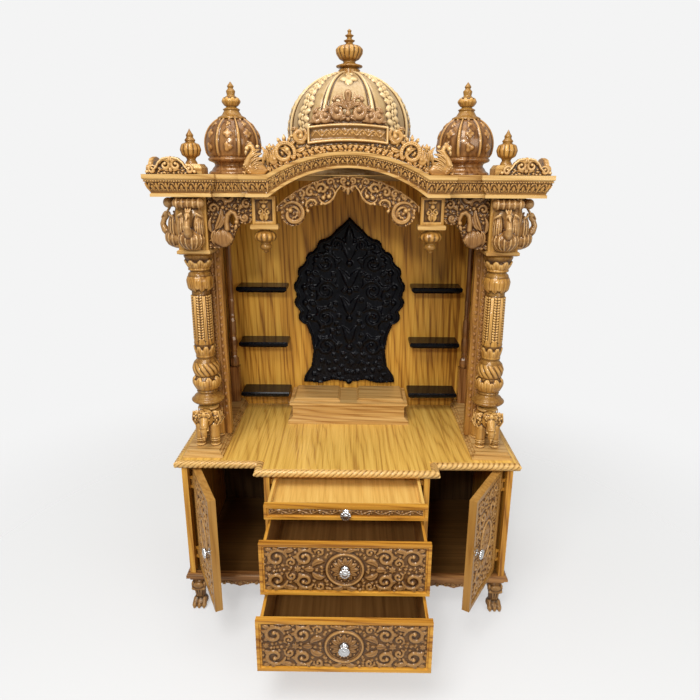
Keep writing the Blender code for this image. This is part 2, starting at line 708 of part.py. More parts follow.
def elephant(side, word, root):
    """Caparisoned elephant facing forward, with the column's disc on its back."""
    x = side * COLUMN_X
    y = COLUMN_Y - 0.006
    low = PLINTH_TOP + SEAT
    high = COLUMN_FOOT - SEAT
    tall = high - low
    half = ELEPHANT_HALF
    bm = bmesh.new()
    add_ball(bm, (x, y + 0.10 * half, low + tall * 0.62), (half, 1.25 * half, tall * 0.36))
    add_ball(bm, (x, y - half, low + tall * 0.74), (0.68 * half, 0.65 * half, tall * 0.25))
    for way in (-1, 1):
        ear = (0.38 * half, 0.25 * half, 0.22 * tall)
        add_ball(bm, (x + way * 0.82 * half, y - 0.60 * half, low + 0.70 * tall), ear)
        for dy in (-0.65 * half, 0.85 * half):
            knee = low + tall * 0.22
            leg = [(0.38 * half, low - 0.01), (0.32 * half, knee), (0.40 * half, low + tall * 0.5)]
            add_turning(bm, leg, (x + way * 0.60 * half, y + dy), even(10))
    trunk = (
        (1.45, 0.66, 0.32), (1.57, 0.54, 0.30), (1.60, 0.42, 0.27), (1.57, 0.30, 0.25), (1.50, 0.19, 0.23),
        (1.40, 0.11, 0.23))
    for reach, height, thick in trunk:
        radius = thick * half
        add_ball(bm, (x, y - reach * half, low + tall * height), (radius, radius, tall * 0.085))
    seat = 0.75 * half
    add_box(bm, (x - seat, x + seat), (y - seat, y + 0.9 * half), (high - 0.15 * tall, high + 0.01))
    body = make(word + "_elephant", bm, TEAK, root)
    melt(body, 0.0055, 0.10)
    level(body, x, y, low, high)


def console(name, side_on, side):
    """Scroll bracket under the cornice, in front of a column block or on its outer side."""
    tall = CONSOLE_TOP - ABACUS_TOP
    curve = [(-0.05, 1.0), (1.0, 1.0)] + arc(0.72, 0.89, 0.28, 10, -100, 4)
    curve += arc(0.42, 0.50, 0.48, 55, -55, 5) + [(0.36, 0.14), (0.10, 0.02), (-0.05, 0.02)]
    outline = scaled(curve, CONSOLE_REACH, tall, (0, ABACUS_TOP))
    across = (-CONSOLE_HALF, CONSOLE_HALF)
    loops = []
    for offset in across:
        if side_on:
            loops.append([(side * (BLOCK_OUT + out), COLUMN_Y + offset, z) for out, z in outline])
        else:
            loops.append([(side * COLUMN_X + offset, BLOCK_FRONT - out, z) for out, z in outline])
    bm = bmesh.new()
    add_loft(bm, loops)
    return make(name, bm)


def front_column(side, word, root):
    """Turned column with its abacus, the square block above it and two scroll brackets."""
    x = side * COLUMN_X
    profile = stretched(COLUMN_PROFILE, COLUMN_RADIUS, COLUMN_FOOT, ABACUS_TOP)
    shaft = turned(word + "_front_column", profile, (x, COLUMN_Y), 12, TEAK, root)
    at = (x, COLUMN_Y)
    under = ABACUS_TOP - ABACUS_THICK
    rings = [(ABACUS_HALF, ABACUS_HALF, under), (ABACUS_HALF, ABACUS_HALF, ABACUS_TOP)]
    abacus = square_loft("abacus", rings, at)
    rings = [(BLOCK_HALF, BLOCK_HALF, ABACUS_TOP - 0.002), (BLOCK_HALF, BLOCK_HALF, WALL_TOP)]
    block = square_loft("block", rings, at)
    fuse(shaft, abacus, block, console("front_console", False, side), console("side_console", True, side))


def rear_column(side, word, root):
    """Slim turned column on a plain pedestal against the back wall."""
    at = (side * (COLUMN_X - REAR_COLUMN_IN), BACK_FACE - SEAT - PEDESTAL_HALF)
    low = PLINTH_TOP + SEAT
    shelf = low + PEDESTAL_HEIGHT
    half = PEDESTAL_HALF
    pedestal = square_loft(word + "_rear_column", [(half, half, low), (half, half, shelf)], at, root)
    neck = WALL_TOP - 0.4 * PEDESTAL_HEIGHT
    shaft = turned("shaft", stretched(COLUMN_PROFILE, 0.97 * half, shelf - 0.001, neck), at, 8)
    cap = square_loft("cap", [(half, half, neck - PEDESTAL_HALF), (half, half, WALL_TOP)], at)
    fuse(pedestal, shaft, cap)


def side_wall(side, word, root):
    """Closed side with a wider post behind the front column."""
    start = COLUMN_Y + POST_BACK
    outer = side * (SIDE_WALL_X + WALL_THICK / 2)
    inner = side * (SIDE_WALL_X + WALL_THICK / 2 - POST_WIDE)
    face = side * (SIDE_WALL_X - WALL_THICK / 2)
    back = BACK_FACE - SEAT
    turn = start + POST_DEEP
    plan = [(outer, start), (inner, start), (inner, turn), (face, turn), (face, back), (outer, back)]
    bm = bmesh.new()
    add_loft(bm, [[(x, y, z) for x, y in plan] for z in (PLINTH_TOP + SEAT, WALL_TOP)])
    make(word + "_side_wall", bm, DARK_TEAK, root)


def carved_y():
    front = BLOCK_FRONT + CARVED_SETBACK
    return (front, front + CARVED_THICK)


def spandrel(side, word, root):
    """Corner board cut as a bird with scrolls, fused to its post and turned pendant."""
    inner = PENDANT_X + PENDANT_HALF - 0.002
    outer = BLOCK_OUT - 2 * BLOCK_HALF - SEAT
    curve = [(0, 1.0), (1.0, 1.0)] + arc(0.78, 0.17, 0.22, 0, -150, 5) + arc(0.47, 0.24, 0.20, -70, -165, 3)
    curve += arc(0.20, 0.44, 0.20, -60, -150, 3) + [(0, 0.35)]
    outline = scaled(curve, outer - inner, WALL_TOP - ABACUS_TOP, (inner, ABACUS_TOP))
    panel = prism(word + "_spandrel", [(side * x, z) for x, z in outline], carved_y(), TEAK, root)
    front = CORNICE_INNER_Y + 2 * SEAT
    at = (side * PENDANT_X, front + PENDANT_DEEP / 2)
    half = PENDANT_HALF
    deep = PENDANT_DEEP / 2
    cap = PENDANT_FOOT + 0.012
    post = square_loft("post", [(half, deep, cap - 0.002), (half, deep, WALL_TOP)], at)
    lip = square_loft("lip", [(half + 0.006, deep, PENDANT_FOOT), (half + 0.006, deep, cap)], at)
    profile = stretched(PENDANT_PROFILE, 0.8 * half, PENDANT_FOOT + 0.002, PENDANT_FOOT - PENDANT_DROP)
    fuse(panel, post, lip, turned("drop", profile, at, 10))


def cusped_arch(root):
    """Arch board with two hanging lobes a side and a pendant tip in the middle."""
    edge = PENDANT_X - PENDANT_HALF - SEAT
    lobes = [(-1.0, -0.20)] + arc(-0.765, -0.228, 0.176, 170, 365, 8)
    lobes += arc(-0.40, 0.010, 0.174, 228, 350, 5)
    lobes += arc(0.0, 0.113, 0.103, 205, 270, 2)
    half = scaled(lobes, edge, edge, (0, CORNICE_BOTTOM))
    rise = ARCH_TOP - ARCH_SPRING
    radius = (edge ** 2 + rise ** 2) / (2 * rise)
    swing = degrees(asin(edge / radius))
    top = arc(0, ARCH_TOP - radius, radius, 90 - swing, 90 + swing, 12)
    prism("cusped_arch", half + mirror(half[:-1]) + top, carved_y(), TEAK, root)


def arc_rise(x):
    """How far the middle of the cornice has risen at x."""
    if abs(x) >= ARC_HALF:
        return 0.0
    radius = (ARC_HALF ** 2 + ARC_RISE ** 2) / (2 * ARC_RISE)
    return sqrt(radius ** 2 - x * x) - (radius - ARC_RISE)


def antefix(side, word, root):
    """Scrolled triangular plates that stand along both edges of a front corner of the cornice."""
    half = [(0.97, 0.0), (1.0, 0.10)] + arc(0.86, 0.16, 0.13, 0, 150, 3)
    half += [(0.50, 0.42), (0.30, 0.78), (0.12, 0.98)]
    outline = scaled(half + mirror(half), ANTEFIX_HALF, ANTEFIX_TALL, (0, CORNICE_TOP + SEAT))
    corner = side * (CORNICE_HALF + CORNICE_FLARE / 2)
    front = CORNICE_FRONT - CORNICE_FLARE / 2
    plate = prism(word + "_antefix", [(corner - side * ANTEFIX_HALF + x, z) for x, z in outline],
                  (front, front + ANTEFIX_THICK), TEAK, root)
    bm = bmesh.new()
    middle = front + ANTEFIX_HALF
    faces = (corner, corner - side * ANTEFIX_THICK)
    add_loft(bm, [[(across, middle + y, z) for y, z in outline] for across in faces])
    fuse(plate, make("flank", bm))


def cornice(root):
    """Flared carved moulding round the front and sides, raised as an arc in the middle."""
    near = CORNICE_FRONT
    half = CORNICE_HALF
    left = [(-half, BACK), (-half, near), (-RECESS_OUTER, near), (-RECESS_OUTER, near + RECESS),
            (-RECESS_INNER, near + RECESS), (-RECESS_INNER, near)]
    middle = [(-ARC_HALF + 2 * ARC_HALF * k / 16, near) for k in range(17)]
    right = [(-x, y) for x, y in reversed(left)]
    path = [Vector(point) for point in left + middle + right]
    section = (
        (0.0, 0.0), (0.17, 0.0), (0.17, 0.13), (0.0, 0.16), (0.22, 0.36), (0.75, 0.74), (1.0, 0.81),
        (1.0, 1.0))
    loops = []
    for here, out in zip(path, outward(path)):
        rise = arc_rise(here.x)
        inner_x = max(-CORNICE_INNER_X, min(CORNICE_INNER_X, here.x))
        inner_y = BACK if here.y == BACK else CORNICE_INNER_Y
        loop = []
        for reach, height in section:
            z = CORNICE_BOTTOM + height * CORNICE_HEIGHT + rise * (1 + ARC_THIN * (1 - height))
            loop.append((here.x + out.x * reach * CORNICE_FLARE, here.y + out.y * reach * CORNICE_FLARE, z))
        loop.append((inner_x, inner_y, CORNICE_TOP + rise))
        loop.append((inner_x, inner_y, CORNICE_BOTTOM + rise * (1 + ARC_THIN)))
        loops.append(loop)
    bm = bmesh.new()
    add_loft(bm, loops)
    make("cornice", bm, TEAK, root)


def roof_deck(root):
    edge = CORNICE_INNER_X - SEAT
    box("roof_deck", (-edge, edge), (carved_y()[1] + SEAT, BACK), (DECK_Z, ROOF_TOP), DARK_TEAK, root)


def arch_crest(root):
    """Crest of scrolls with a leaf at its top and a swan at each end, on the raised cornice."""
    bottom = []
    for k in range(21):
        x = CREST_HALF * (k / 10 - 1)
        bottom.append((x, CORNICE_TOP + arc_rise(x) + SEAT))
    top = arc(0.950, 0.145, 0.050, -20, 140, 4) + arc(0.885, 0.325, 0.040, 0, 170, 4)
    top += [(0.835, 0.26), (0.760, 0.24), (0.715, 0.375), (0.650, 0.345), (0.600, 0.450), (0.540, 0.430)]
    top += arc(0.465, 0.485, 0.050, 0, 140, 3) + [(0.425, 0.610)] + arc(0.300, 0.690, 0.075, -30, 90, 3)
    top += [(0.270, 0.840), (0.215, 0.780)] + arc(0.105, 0.800, 0.085, 0, 110, 4) + [(0.055, 0.930)]
    outline = bottom + scaled(top, CREST_HALF, CREST_TALL, (0, CORNICE_TOP))
    outline.append((0, CORNICE_TOP + CREST_TALL))
    outline += scaled(mirror(top), CREST_HALF, CREST_TALL, (0, CORNICE_TOP))
    front = CORNICE_FRONT - 0.004
    prism("arch_crest", outline, (front, front + CREST_THICK), TEAK, root)


def dome(name, at, sizes, heights, lines, root):
    """Ribbed dome of eight gores on a stepped foot."""
    radius, foot = sizes
    base, widest, crown = heights
    profile = stretched(DOME_FOOT, foot, base, widest)
    for k in range(8):
        turn = radians(-24 + 100 * k / 7)
        tall = crown - widest if turn > 0 else widest - base
        profile.append((radius * cos(turn), widest + tall * sin(turn)))
    return turned(name, profile, at, len(lines), TEAK, root, lines)


def domes(root):
    """One large dome in the middle and a small one on each side, each with a turned finial."""
    base = ROOF_TOP + SEAT
    at = (0, CENTRE_DOME_Y)
    sizes = (CENTRE_DOME_RADIUS - DOME_RELIEF, CENTRE_FOOT_RADIUS)
    heights = (base, CENTRE_WIDEST, CENTRE_CROWN)
    body = dome("centre_dome", at, sizes, heights, gored(DOME_RELIEF / CENTRE_DOME_RADIUS), root)
    low = CENTRE_CROWN - 0.006
    fuse(body, turned("finial", stretched(CENTRE_FINIAL, CENTRE_FINIAL_RADIUS, low, CENTRE_TOP), at, 10))
    for side, word in SIDES:
        at = (side * (COLUMN_X - SIDE_DOME_IN), SIDE_DOME_Y)
        sizes = (SIDE_DOME_RADIUS, SIDE_DOME_RADIUS)
        body = dome(word + "_dome", at, sizes, (base, SIDE_WIDEST, SIDE_CROWN), even(16, 8, 0.018), root)
        low = SIDE_CROWN - 0.008
        fuse(body, turned("finial", stretched(SIDE_FINIAL, SIDE_FINIAL_RADIUS, low, SIDE_TOP), at, 10))


def corner_finial(side, word, root):
    """Turned ball and tip on a square block over each front column."""
    at = (side * COLUMN_X, COLUMN_Y)
    base = ROOF_TOP + SEAT
    half = CORNER_BLOCK_HALF
    top = base + CORNER_BLOCK_TALL
    edge = base + 0.6 * CORNER_BLOCK_TALL
    rings = [(half, half, base), (half, half, edge), (0.8 * half, 0.8 * half, top)]
    block = square_loft(word + "_corner_finial", rings, at, root)
    profile = stretched(CORNER_FINIAL, CORNER_RADIUS, top - 0.002, base + CORNER_TALL)
    fuse(block, turned("ball", profile, at, 10))


# Back wall furniture

def halo(root):
    """Pointed, lobed backing board, narrow at the foot."""
    half = [(0.0, 0.0), (0.09, 0.07), (0.29, 0.10), (0.52, 0.04), (0.86, 0.06), (0.84, 0.18), (0.71, 0.37),
            (0.67, 0.66), (0.71, 0.94), (0.80, 1.18)]
    for cx, cz, start, end in ((0.79, 1.32, -70, 40), (0.857, 1.59, -50, 45), (0.867, 1.87, -45, 50),
                               (0.79, 2.13, -25, 70), (0.638, 2.37, -10, 85), (0.438, 2.59, 0, 95)):
        half += arc(cx, cz, 0.143, start, end, 3)
    half += [(0.33, 2.79), (0.23, 2.90), (0.12, 2.99), (0.0, 3.11)]
    outline = scaled(half + mirror(half[1:-1]), HALO_HALF, HALO_HALF, (0, HALO_FOOT))
    back = BACK_FACE - SEAT
    field = back - HALO_THICK + HALO_RELIEF
    panel = prism("halo_panel", outline, (field, back), BLACK, root)
    depth = (back - HALO_THICK, field + 0.002)
    fuse(panel, *halo_relief(depth))


def bent_bar(name, middle, wide, depth):
    """Bar of even width along a list of points."""
    points = [Vector(point) for point in middle]
    edge = [(point + out * wide / 2).to_tuple() for point, out in zip(points, outward(points))]
    other = [(point - out * wide / 2).to_tuple() for point, out in zip(points, outward(points))]
    return prism(name, edge + other[::-1], depth, BLACK)


def halo_relief(depth):
    """Border round the head of the board, three leaves up its middle and scrolls in pairs beside them."""
    forms = []
    rim = [(x * 0.92, 1.55 + (z - 1.55) * 0.94) for x, z in HALO_RIM]
    rim = scaled(rim + mirror(rim[:-1]), HALO_HALF, HALO_HALF, (0, HALO_FOOT))
    forms.append(bent_bar("rim", rim, 0.010, depth))
    for foot, tip in ((0.72, 1.14), (1.34, 1.80), (2.02, 2.56)):
        long = tip - foot
        half = [(0.0, foot), (0.075, foot + 0.35 * long), (0.055, foot + 0.70 * long), (0.0, tip)]
        leaf = scaled(half + mirror(half[1:-1]), HALO_HALF, HALO_HALF, (0, HALO_FOOT))
        forms.append(prism("leaf", leaf, depth, BLACK))
    for height in (1.32, 1.90, 2.34):
        reach = 0.40 if height < 2 else 0.26
        curve = arc(reach, height, 0.17, 200, -70, 7)
        for way in (-1, 1):
            bar = scaled([(way * x, z) for x, z in curve], HALO_HALF, HALO_HALF, (0, HALO_FOOT))
            forms.append(bent_bar("scroll", bar[::way], 0.010, depth))
    return forms


def shelves(root):
    """Six small moulded shelves on the back wall."""
    back = BACK_FACE - SEAT
    edge = ((0.010, 0.0), (0.002, 0.32), (0.0, 0.45), (0.0, 0.82), (0.003, 1.0))
    for side, word in SIDES:
        outer = COLUMN_X - SHELF_IN
        inner = IDOL_HALF + SHELF_GAP
        for place, low in SHELF_HEIGHTS:
            loops = []
            for inset, share in edge:
                x_in = side * (inner + inset)
                x_out = side * (outer - inset)
                front = back - SHELF_DEEP + inset
                z = low + share * SHELF_THICK
                loops.append([(x_in, front, z), (x_out, front, z), (x_out, back, z), (x_in, back, z)])
            bm = bmesh.new()
            add_loft(bm, loops)
            make(word + "_" + place + "_shelf", bm, BLACK, root)


def idol_plinth(root):
    """Moulded platform with two low pads for the idols."""
    base = SLAB_TOP + SEAT
    back = BACK_FACE - SEAT - HALO_THICK - 0.004
    rings = (
        (0.0, 0.0), (0.0, 0.15), (0.008, 0.22), (0.016, 0.30), (0.016, 0.78), (0.011, 0.85), (0.006, 0.90),
        (0.006, 1.0))
    loops = []
    for inset, share in rings:
        half = IDOL_HALF - inset
        front = back - IDOL_DEEP + inset
        z = base + share * IDOL_HEIGHT
        loops.append([(-half, front, z), (half, front, z), (half, back, z), (-half, back, z)])
    bm = bmesh.new()
    add_loft(bm, loops)
    body = make("idol_plinth", bm, TEAK, root)
    low = base + IDOL_HEIGHT
    pads = []
    for side in (-1, 1):
        at = (side * PAD_X, back - 0.011 - PAD_DEEP / 2)
        rings = [(PAD_HALF, PAD_DEEP / 2, low - 0.001), (PAD_HALF, PAD_DEEP / 2, low + 0.3 * PAD_THICK),
                 (PAD_HALF - 0.008, PAD_DEEP / 2, low + PAD_THICK)]
        pads.append(square_loft("pad", rings, at))
    fuse(body, *pads)


def main():
    clear_scene()
    root = place_empty("mandir", (0, FRAME_SHIFT, 0))
    bottom_board(root)
    apron(root)
    feet(root)
    carcass(root)
    top_slab(root)
    door(-1, "left", -LEFT_DOOR_OPEN, root)
    door(1, "right", RIGHT_DOOR_OPEN, root)
    for kind in drawer_kinds():
        drawer(kind, root)
    for side, word in SIDES:
        plinth(side, word, root)
        elephant(side, word, root)
        front_column(side, word, root)
        rear_column(side, word, root)
        side_wall(side, word, root)
        spandrel(side, word, root)
        antefix(side, word, root)
        corner_finial(side, word, root)
    box("back_wall", (-BLOCK_OUT, BLOCK_OUT), (BACK_FACE, BACK), (SLAB_TOP + SEAT, WALL_TOP), TEAK, root)
    cusped_arch(root)
    cornice(root)
    roof_deck(root)
    arch_crest(root)
    domes(root)
    halo(root)
    shelves(root)
    idol_plinth(root)


main()
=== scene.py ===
"""Looks of a carved teak home temple: wood finishes, deep relief carving, floor, light and camera."""

import json
from math import ceil, cos, hypot, pi, radians, sin, sqrt, tau

import bmesh
import bpy
import numpy as np
from mathutils import Matrix, Vector


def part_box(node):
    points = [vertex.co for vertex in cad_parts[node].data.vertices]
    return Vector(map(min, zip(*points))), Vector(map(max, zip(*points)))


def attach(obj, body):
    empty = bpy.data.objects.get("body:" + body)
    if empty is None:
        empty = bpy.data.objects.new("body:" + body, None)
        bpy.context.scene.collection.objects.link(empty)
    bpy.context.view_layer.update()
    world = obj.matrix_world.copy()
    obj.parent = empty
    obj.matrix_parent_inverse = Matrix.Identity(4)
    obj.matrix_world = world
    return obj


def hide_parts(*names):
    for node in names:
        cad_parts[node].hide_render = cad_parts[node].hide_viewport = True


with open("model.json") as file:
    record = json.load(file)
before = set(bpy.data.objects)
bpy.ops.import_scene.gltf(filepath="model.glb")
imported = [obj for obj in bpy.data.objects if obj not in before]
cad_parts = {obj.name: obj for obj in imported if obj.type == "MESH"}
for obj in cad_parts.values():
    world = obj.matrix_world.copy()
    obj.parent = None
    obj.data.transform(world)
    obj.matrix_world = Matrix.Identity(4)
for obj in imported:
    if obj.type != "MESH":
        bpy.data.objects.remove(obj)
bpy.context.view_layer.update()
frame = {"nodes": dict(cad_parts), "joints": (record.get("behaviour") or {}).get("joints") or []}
NODES = frame["nodes"]
JOINTS = {joint["name"]: joint for joint in frame["joints"]}
SIDES = ((-1, "left"), (1, "right"))

# Camera of the photograph
CAMERA_PLACE = (0.026, -1.7265, 1.457)
CAMERA_YAW = -0.599
CAMERA_PITCH = 16.946
CAMERA_ROLL = 0.237
CAMERA_LENS = 30.0

# Height of the cornice, in metres
CORNICE_TALL = 0.0623

# Colours, linear
DARK = (0.24, 0.085, 0.01, 1)
MIDDLE = (0.5, 0.22, 0.027, 1)
LIGHT = (0.68, 0.35, 0.05, 1)
# The next two colours are painted light for carved wood: painted shade for its hollows and a painted
# highlight for its proud ridges.
RECESS_SHADE = (0.05, 0.017, 0.004, 1)
RIDGE_HIGHLIGHT = (0.82, 0.5, 0.16, 1)
COUNTER_DARK = (0.48, 0.25, 0.046, 1)
COUNTER = (0.7, 0.415, 0.082, 1)
COUNTER_LIGHT = (0.82, 0.52, 0.12, 1)
RED_DARK = (0.1, 0.036, 0.01, 1)
RED = (0.22, 0.09, 0.026, 1)
RED_LIGHT = (0.4, 0.19, 0.06, 1)
BROWN_DARK = (0.022, 0.01, 0.004, 1)
BROWN = (0.042, 0.021, 0.008, 1)
BROWN_LIGHT = (0.07, 0.036, 0.014, 1)
DRAWER_DARK = (0.23, 0.104, 0.028, 1)
DRAWER = (0.34, 0.16, 0.044, 1)
DRAWER_LIGHT = (0.43, 0.215, 0.064, 1)
PANEL_DARK = (0.13, 0.05, 0.013, 1)
PANEL = (0.27, 0.12, 0.031, 1)
PANEL_LIGHT = (0.36, 0.175, 0.048, 1)
# Painted highlight for the ridges and painted shade for the hollows of the carved panels.
PANEL_RIDGE_HIGHLIGHT = (0.56, 0.32, 0.11, 1)
PANEL_RECESS_SHADE = (0.055, 0.018, 0.005, 1)
HONEY_DARK = (0.66, 0.385, 0.095, 1)
HONEY = (0.74, 0.45, 0.115, 1)
HONEY_LIGHT = (0.82, 0.54, 0.16, 1)


# Materials

def blank_material(name):
    material = bpy.data.materials.new(name)
    material.use_nodes = True
    tree = material.node_tree
    return material, tree, tree.nodes["Principled BSDF"]


def add_node(tree, kind, **values):
    """A new node with its plain inputs set by name."""
    made = tree.nodes.new(kind)
    for key, value in values.items():
        made.inputs[key.replace("_", " ")].default_value = value
    return made


def ramp(tree, factor, *stops):
    made = tree.nodes.new("ShaderNodeValToRGB")
    made.color_ramp.elements[0].position = stops[0][0]
    made.color_ramp.elements[0].color = stops[0][1]
    made.color_ramp.elements[1].position = stops[-1][0]
    made.color_ramp.elements[1].color = stops[-1][1]
    for position, colour in stops[1:-1]:
        made.color_ramp.elements.new(position).color = colour
    tree.links.new(factor, made.inputs["Fac"])
    return made.outputs["Color"]


def math_node(tree, operation, first, second=None, clamp=False):
    made = tree.nodes.new("ShaderNodeMath")
    made.operation = operation
    made.use_clamp = clamp
    for socket, value in zip(made.inputs, (first, second)):
        if value is None:
            continue
        if isinstance(value, (int, float)):
            socket.default_value = value
        else:
            tree.links.new(value, socket)
    return made.outputs[0]


def mix_colour(tree, factor, first, second):
    made = tree.nodes.new("ShaderNodeMix")
    made.data_type = "RGBA"
    tree.links.new(factor, made.inputs["Factor"])
    for socket, value in ((made.inputs[6], first), (made.inputs[7], second)):
        if isinstance(value, tuple):
            socket.default_value = value
        else:
            tree.links.new(value, socket)
    return made.outputs[2]


def stretched_noise(tree, along, along_scale, across_scale, detail=3.0, distortion=0.0):
    """Noise drawn out along one axis of the board."""
    coords = tree.nodes.new("ShaderNodeTexCoord")
    mapping = tree.nodes.new("ShaderNodeMapping")
    tree.links.new(coords.outputs["Object"], mapping.inputs["Vector"])
    mapping.inputs["Scale"].default_value = [along_scale if axis == along else across_scale for axis in "XYZ"]
    noise = add_node(tree, "ShaderNodeTexNoise", Scale=1.0, Detail=detail, Roughness=0.55,
                     Distortion=distortion)
    tree.links.new(mapping.outputs["Vector"], noise.inputs["Vector"])
    return noise.outputs["Fac"]


def growth_lines(tree, along, scale):
    """Wavy bands that run along the board and close in long points."""
    coords = tree.nodes.new("ShaderNodeTexCoord")
    mapping = tree.nodes.new("ShaderNodeMapping")
    tree.links.new(coords.outputs["Object"], mapping.inputs["Vector"])
    mapping.inputs["Scale"].default_value = [0.1 if axis == along else 1.0 for axis in "XYZ"]
    wave = add_node(tree, "ShaderNodeTexWave", Scale=scale, Distortion=16.0, Detail=3.0)
    wave.inputs["Detail Scale"].default_value = 0.35
    wave.bands_direction = "DIAGONAL"
    tree.links.new(mapping.outputs["Vector"], wave.inputs["Vector"])
    return wave.outputs["Fac"]


def wood(name, along="Z", tones=(DARK, MIDDLE, LIGHT), roughness=0.36, coat=0.22, carved=False, inside=None,
         inner=(DRAWER_DARK, DRAWER, DRAWER_LIGHT), ridge=RIDGE_HIGHLIGHT, recess_shade=RECESS_SHADE, shade=0.05):
    """Varnished teak with grain along one axis. Carved wood gets painted shade in its hollows and a painted
    highlight on its ridges, by the relief's own cavity values.
    """
    material, tree, shader = blank_material(name)
    broad = stretched_noise(tree, along, 1.2, 26.0, 2.0, 0.2)
    streaks = stretched_noise(tree, along, 1.6, 150.0, 4.0, 0.3)
    fine = stretched_noise(tree, along, 9.0, 620.0, 2.0)
    lines = math_node(tree, "POWER", growth_lines(tree, along, 26.0), 0.35)
    total = math_node(tree, "MULTIPLY", broad, 0.3)
    total = math_node(tree, "ADD", total, math_node(tree, "MULTIPLY", streaks, 0.42))
    total = math_node(tree, "ADD", total, math_node(tree, "MULTIPLY", fine, 0.14))
    total = math_node(tree, "ADD", total, math_node(tree, "MULTIPLY", lines, 0.05 if carved else 0.12))
    stops = (0.34, 0.42, 0.54) if carved else (0.41, 0.5, 0.62)
    colour = ramp(tree, total, *zip(stops, tones))
    if carved:
        cavity = tree.nodes.new("ShaderNodeAttribute")
        cavity.attribute_name = "cavity"
        # Painted shade: the colour for the hollows covers them where the cavity value is low; a larger shade
        # spreads it further.
        low = math_node(tree, "MULTIPLY_ADD", cavity.outputs["Fac"], 2.4, True)
        low.node.inputs[2].default_value = -shade
        colour = mix_colour(tree, low, recess_shade, colour)
        # Painted highlight: the ridge colour covers the proudest ridges.
        high = math_node(tree, "MULTIPLY_ADD", cavity.outputs["Fac"], 2.0, True)
        high.node.inputs[2].default_value = -1.15
        colour = mix_colour(tree, high, colour, ridge)
    if inside:
        colour = mix_colour(tree, inside_mask(tree, *inside), colour, dull_brown(tree, along, inner))
    tree.links.new(colour, shader.inputs["Base Color"])
    rough = math_node(tree, "MULTIPLY_ADD", fine, 0.18)
    rough.node.inputs[2].default_value = roughness - 0.09
    tree.links.new(rough, shader.inputs["Roughness"])
    shader.inputs["Coat Weight"].default_value = coat
    shader.inputs["Coat Roughness"].default_value = 0.14
    shader.inputs["Specular Tint"].default_value = (1.0, 0.72, 0.42, 1)
    bump = add_node(tree, "ShaderNodeBump", Strength=0.25, Distance=0.0006)
    tree.links.new(fine, bump.inputs["Height"])
    tree.links.new(bump.outputs["Normal"], shader.inputs["Normal"])
    return material


def dull_brown(tree, along, tones):
    grain = stretched_noise(tree, along, 2.5, 90.0, 3.0, 0.2)
    return ramp(tree, grain, *zip((0.3, 0.5, 0.7), tones))


def inside_mask(tree, low, high):
    """1 where a point of the part lies strictly inside a box, which is a drawer's hollow."""
    coords = tree.nodes.new("ShaderNodeTexCoord")
    split = tree.nodes.new("ShaderNodeSeparateXYZ")
    tree.links.new(coords.outputs["Object"], split.inputs[0])
    result = None
    for axis in range(3):
        above = math_node(tree, "GREATER_THAN", split.outputs[axis], low[axis])
        below = math_node(tree, "LESS_THAN", split.outputs[axis], high[axis])
        both = math_node(tree, "MULTIPLY", above, below)
        result = both if result is None else math_node(tree, "MULTIPLY", result, both)
    return result


def lacquer():
    """Glossy black lacquer with a faint orange-peel surface."""
    material, tree, shader = blank_material("black_lacquer_gloss")
    noise = stretched_noise(tree, "Z", 60.0, 90.0, 2.0)
    colour = ramp(tree, noise, (0.35, (0.0015, 0.0018, 0.003, 1)), (0.7, (0.0045, 0.0052, 0.0085, 1)))
    tree.links.new(colour, shader.inputs["Base Color"])
    rough = math_node(tree, "MULTIPLY_ADD", noise, 0.15)
    rough.node.inputs[2].default_value = 0.15
    tree.links.new(rough, shader.inputs["Roughness"])
    shader.inputs["Specular IOR Level"].default_value = 0.16
    return material


def silver():
    """Cast white metal, brighter on its ridges."""
    material, tree, shader = blank_material("cast_silver")
    noise = stretched_noise(tree, "Z", 300.0, 300.0, 2.0)
    cavity = tree.nodes.new("ShaderNodeAttribute")
    cavity.attribute_name = "cavity"
    bright = ramp(tree, cavity.outputs["Fac"], (0.1, (0.1, 0.11, 0.12, 1)), (0.55, (0.8, 0.82, 0.84, 1)))
    tree.links.new(bright, shader.inputs["Base Color"])
    shader.inputs["Metallic"].default_value = 1.0
    rough = math_node(tree, "MULTIPLY_ADD", noise, 0.15)
    rough.node.inputs[2].default_value = 0.16
    tree.links.new(rough, shader.inputs["Roughness"])
    return material


# Carved finishes: the ridge colour is a painted highlight, the colour for the hollows is painted shade, and
# shade sets how far that painted shade spreads.
CARVED_Z = wood("carved_teak_upright", "Z", ((0.18, 0.07, 0.012, 1), (0.39, 0.18, 0.034, 1),
                                             (0.53, 0.28, 0.062, 1)),
                0.3, 0.35, carved=True, ridge=(0.76, 0.47, 0.17, 1), shade=0.36)
# Brackets: their darker brown is partly the wood's own colour and partly painted shade, and their painted
# shade in the hollows reaches far.
CARVED_BRACKET = wood("carved_teak_bracket", "Z",
                      (PANEL_DARK, (0.29, 0.135, 0.036, 1), (0.39, 0.2, 0.062, 1)), 0.28, 0.4,
                      carved=True, ridge=(0.64, 0.4, 0.17, 1), recess_shade=PANEL_RECESS_SHADE, shade=0.42)
CARVED_X = wood("carved_teak_level", "X", ((0.17, 0.065, 0.014, 1), (0.35, 0.155, 0.034, 1),
                                           (0.46, 0.225, 0.054, 1)),
                0.34, 0.3, carved=True, shade=0.3, ridge=(0.68, 0.41, 0.13, 1))
CARVED_DRAWER = wood("carved_teak_drawer", "X",
                     ((0.1, 0.04, 0.012, 1), (0.2, 0.088, 0.024, 1), (0.27, 0.13, 0.038, 1)),
                     0.28, 0.35, carved=True, ridge=(0.44, 0.235, 0.076, 1),
                     recess_shade=(0.04, 0.014, 0.004, 1), shade=0.2)
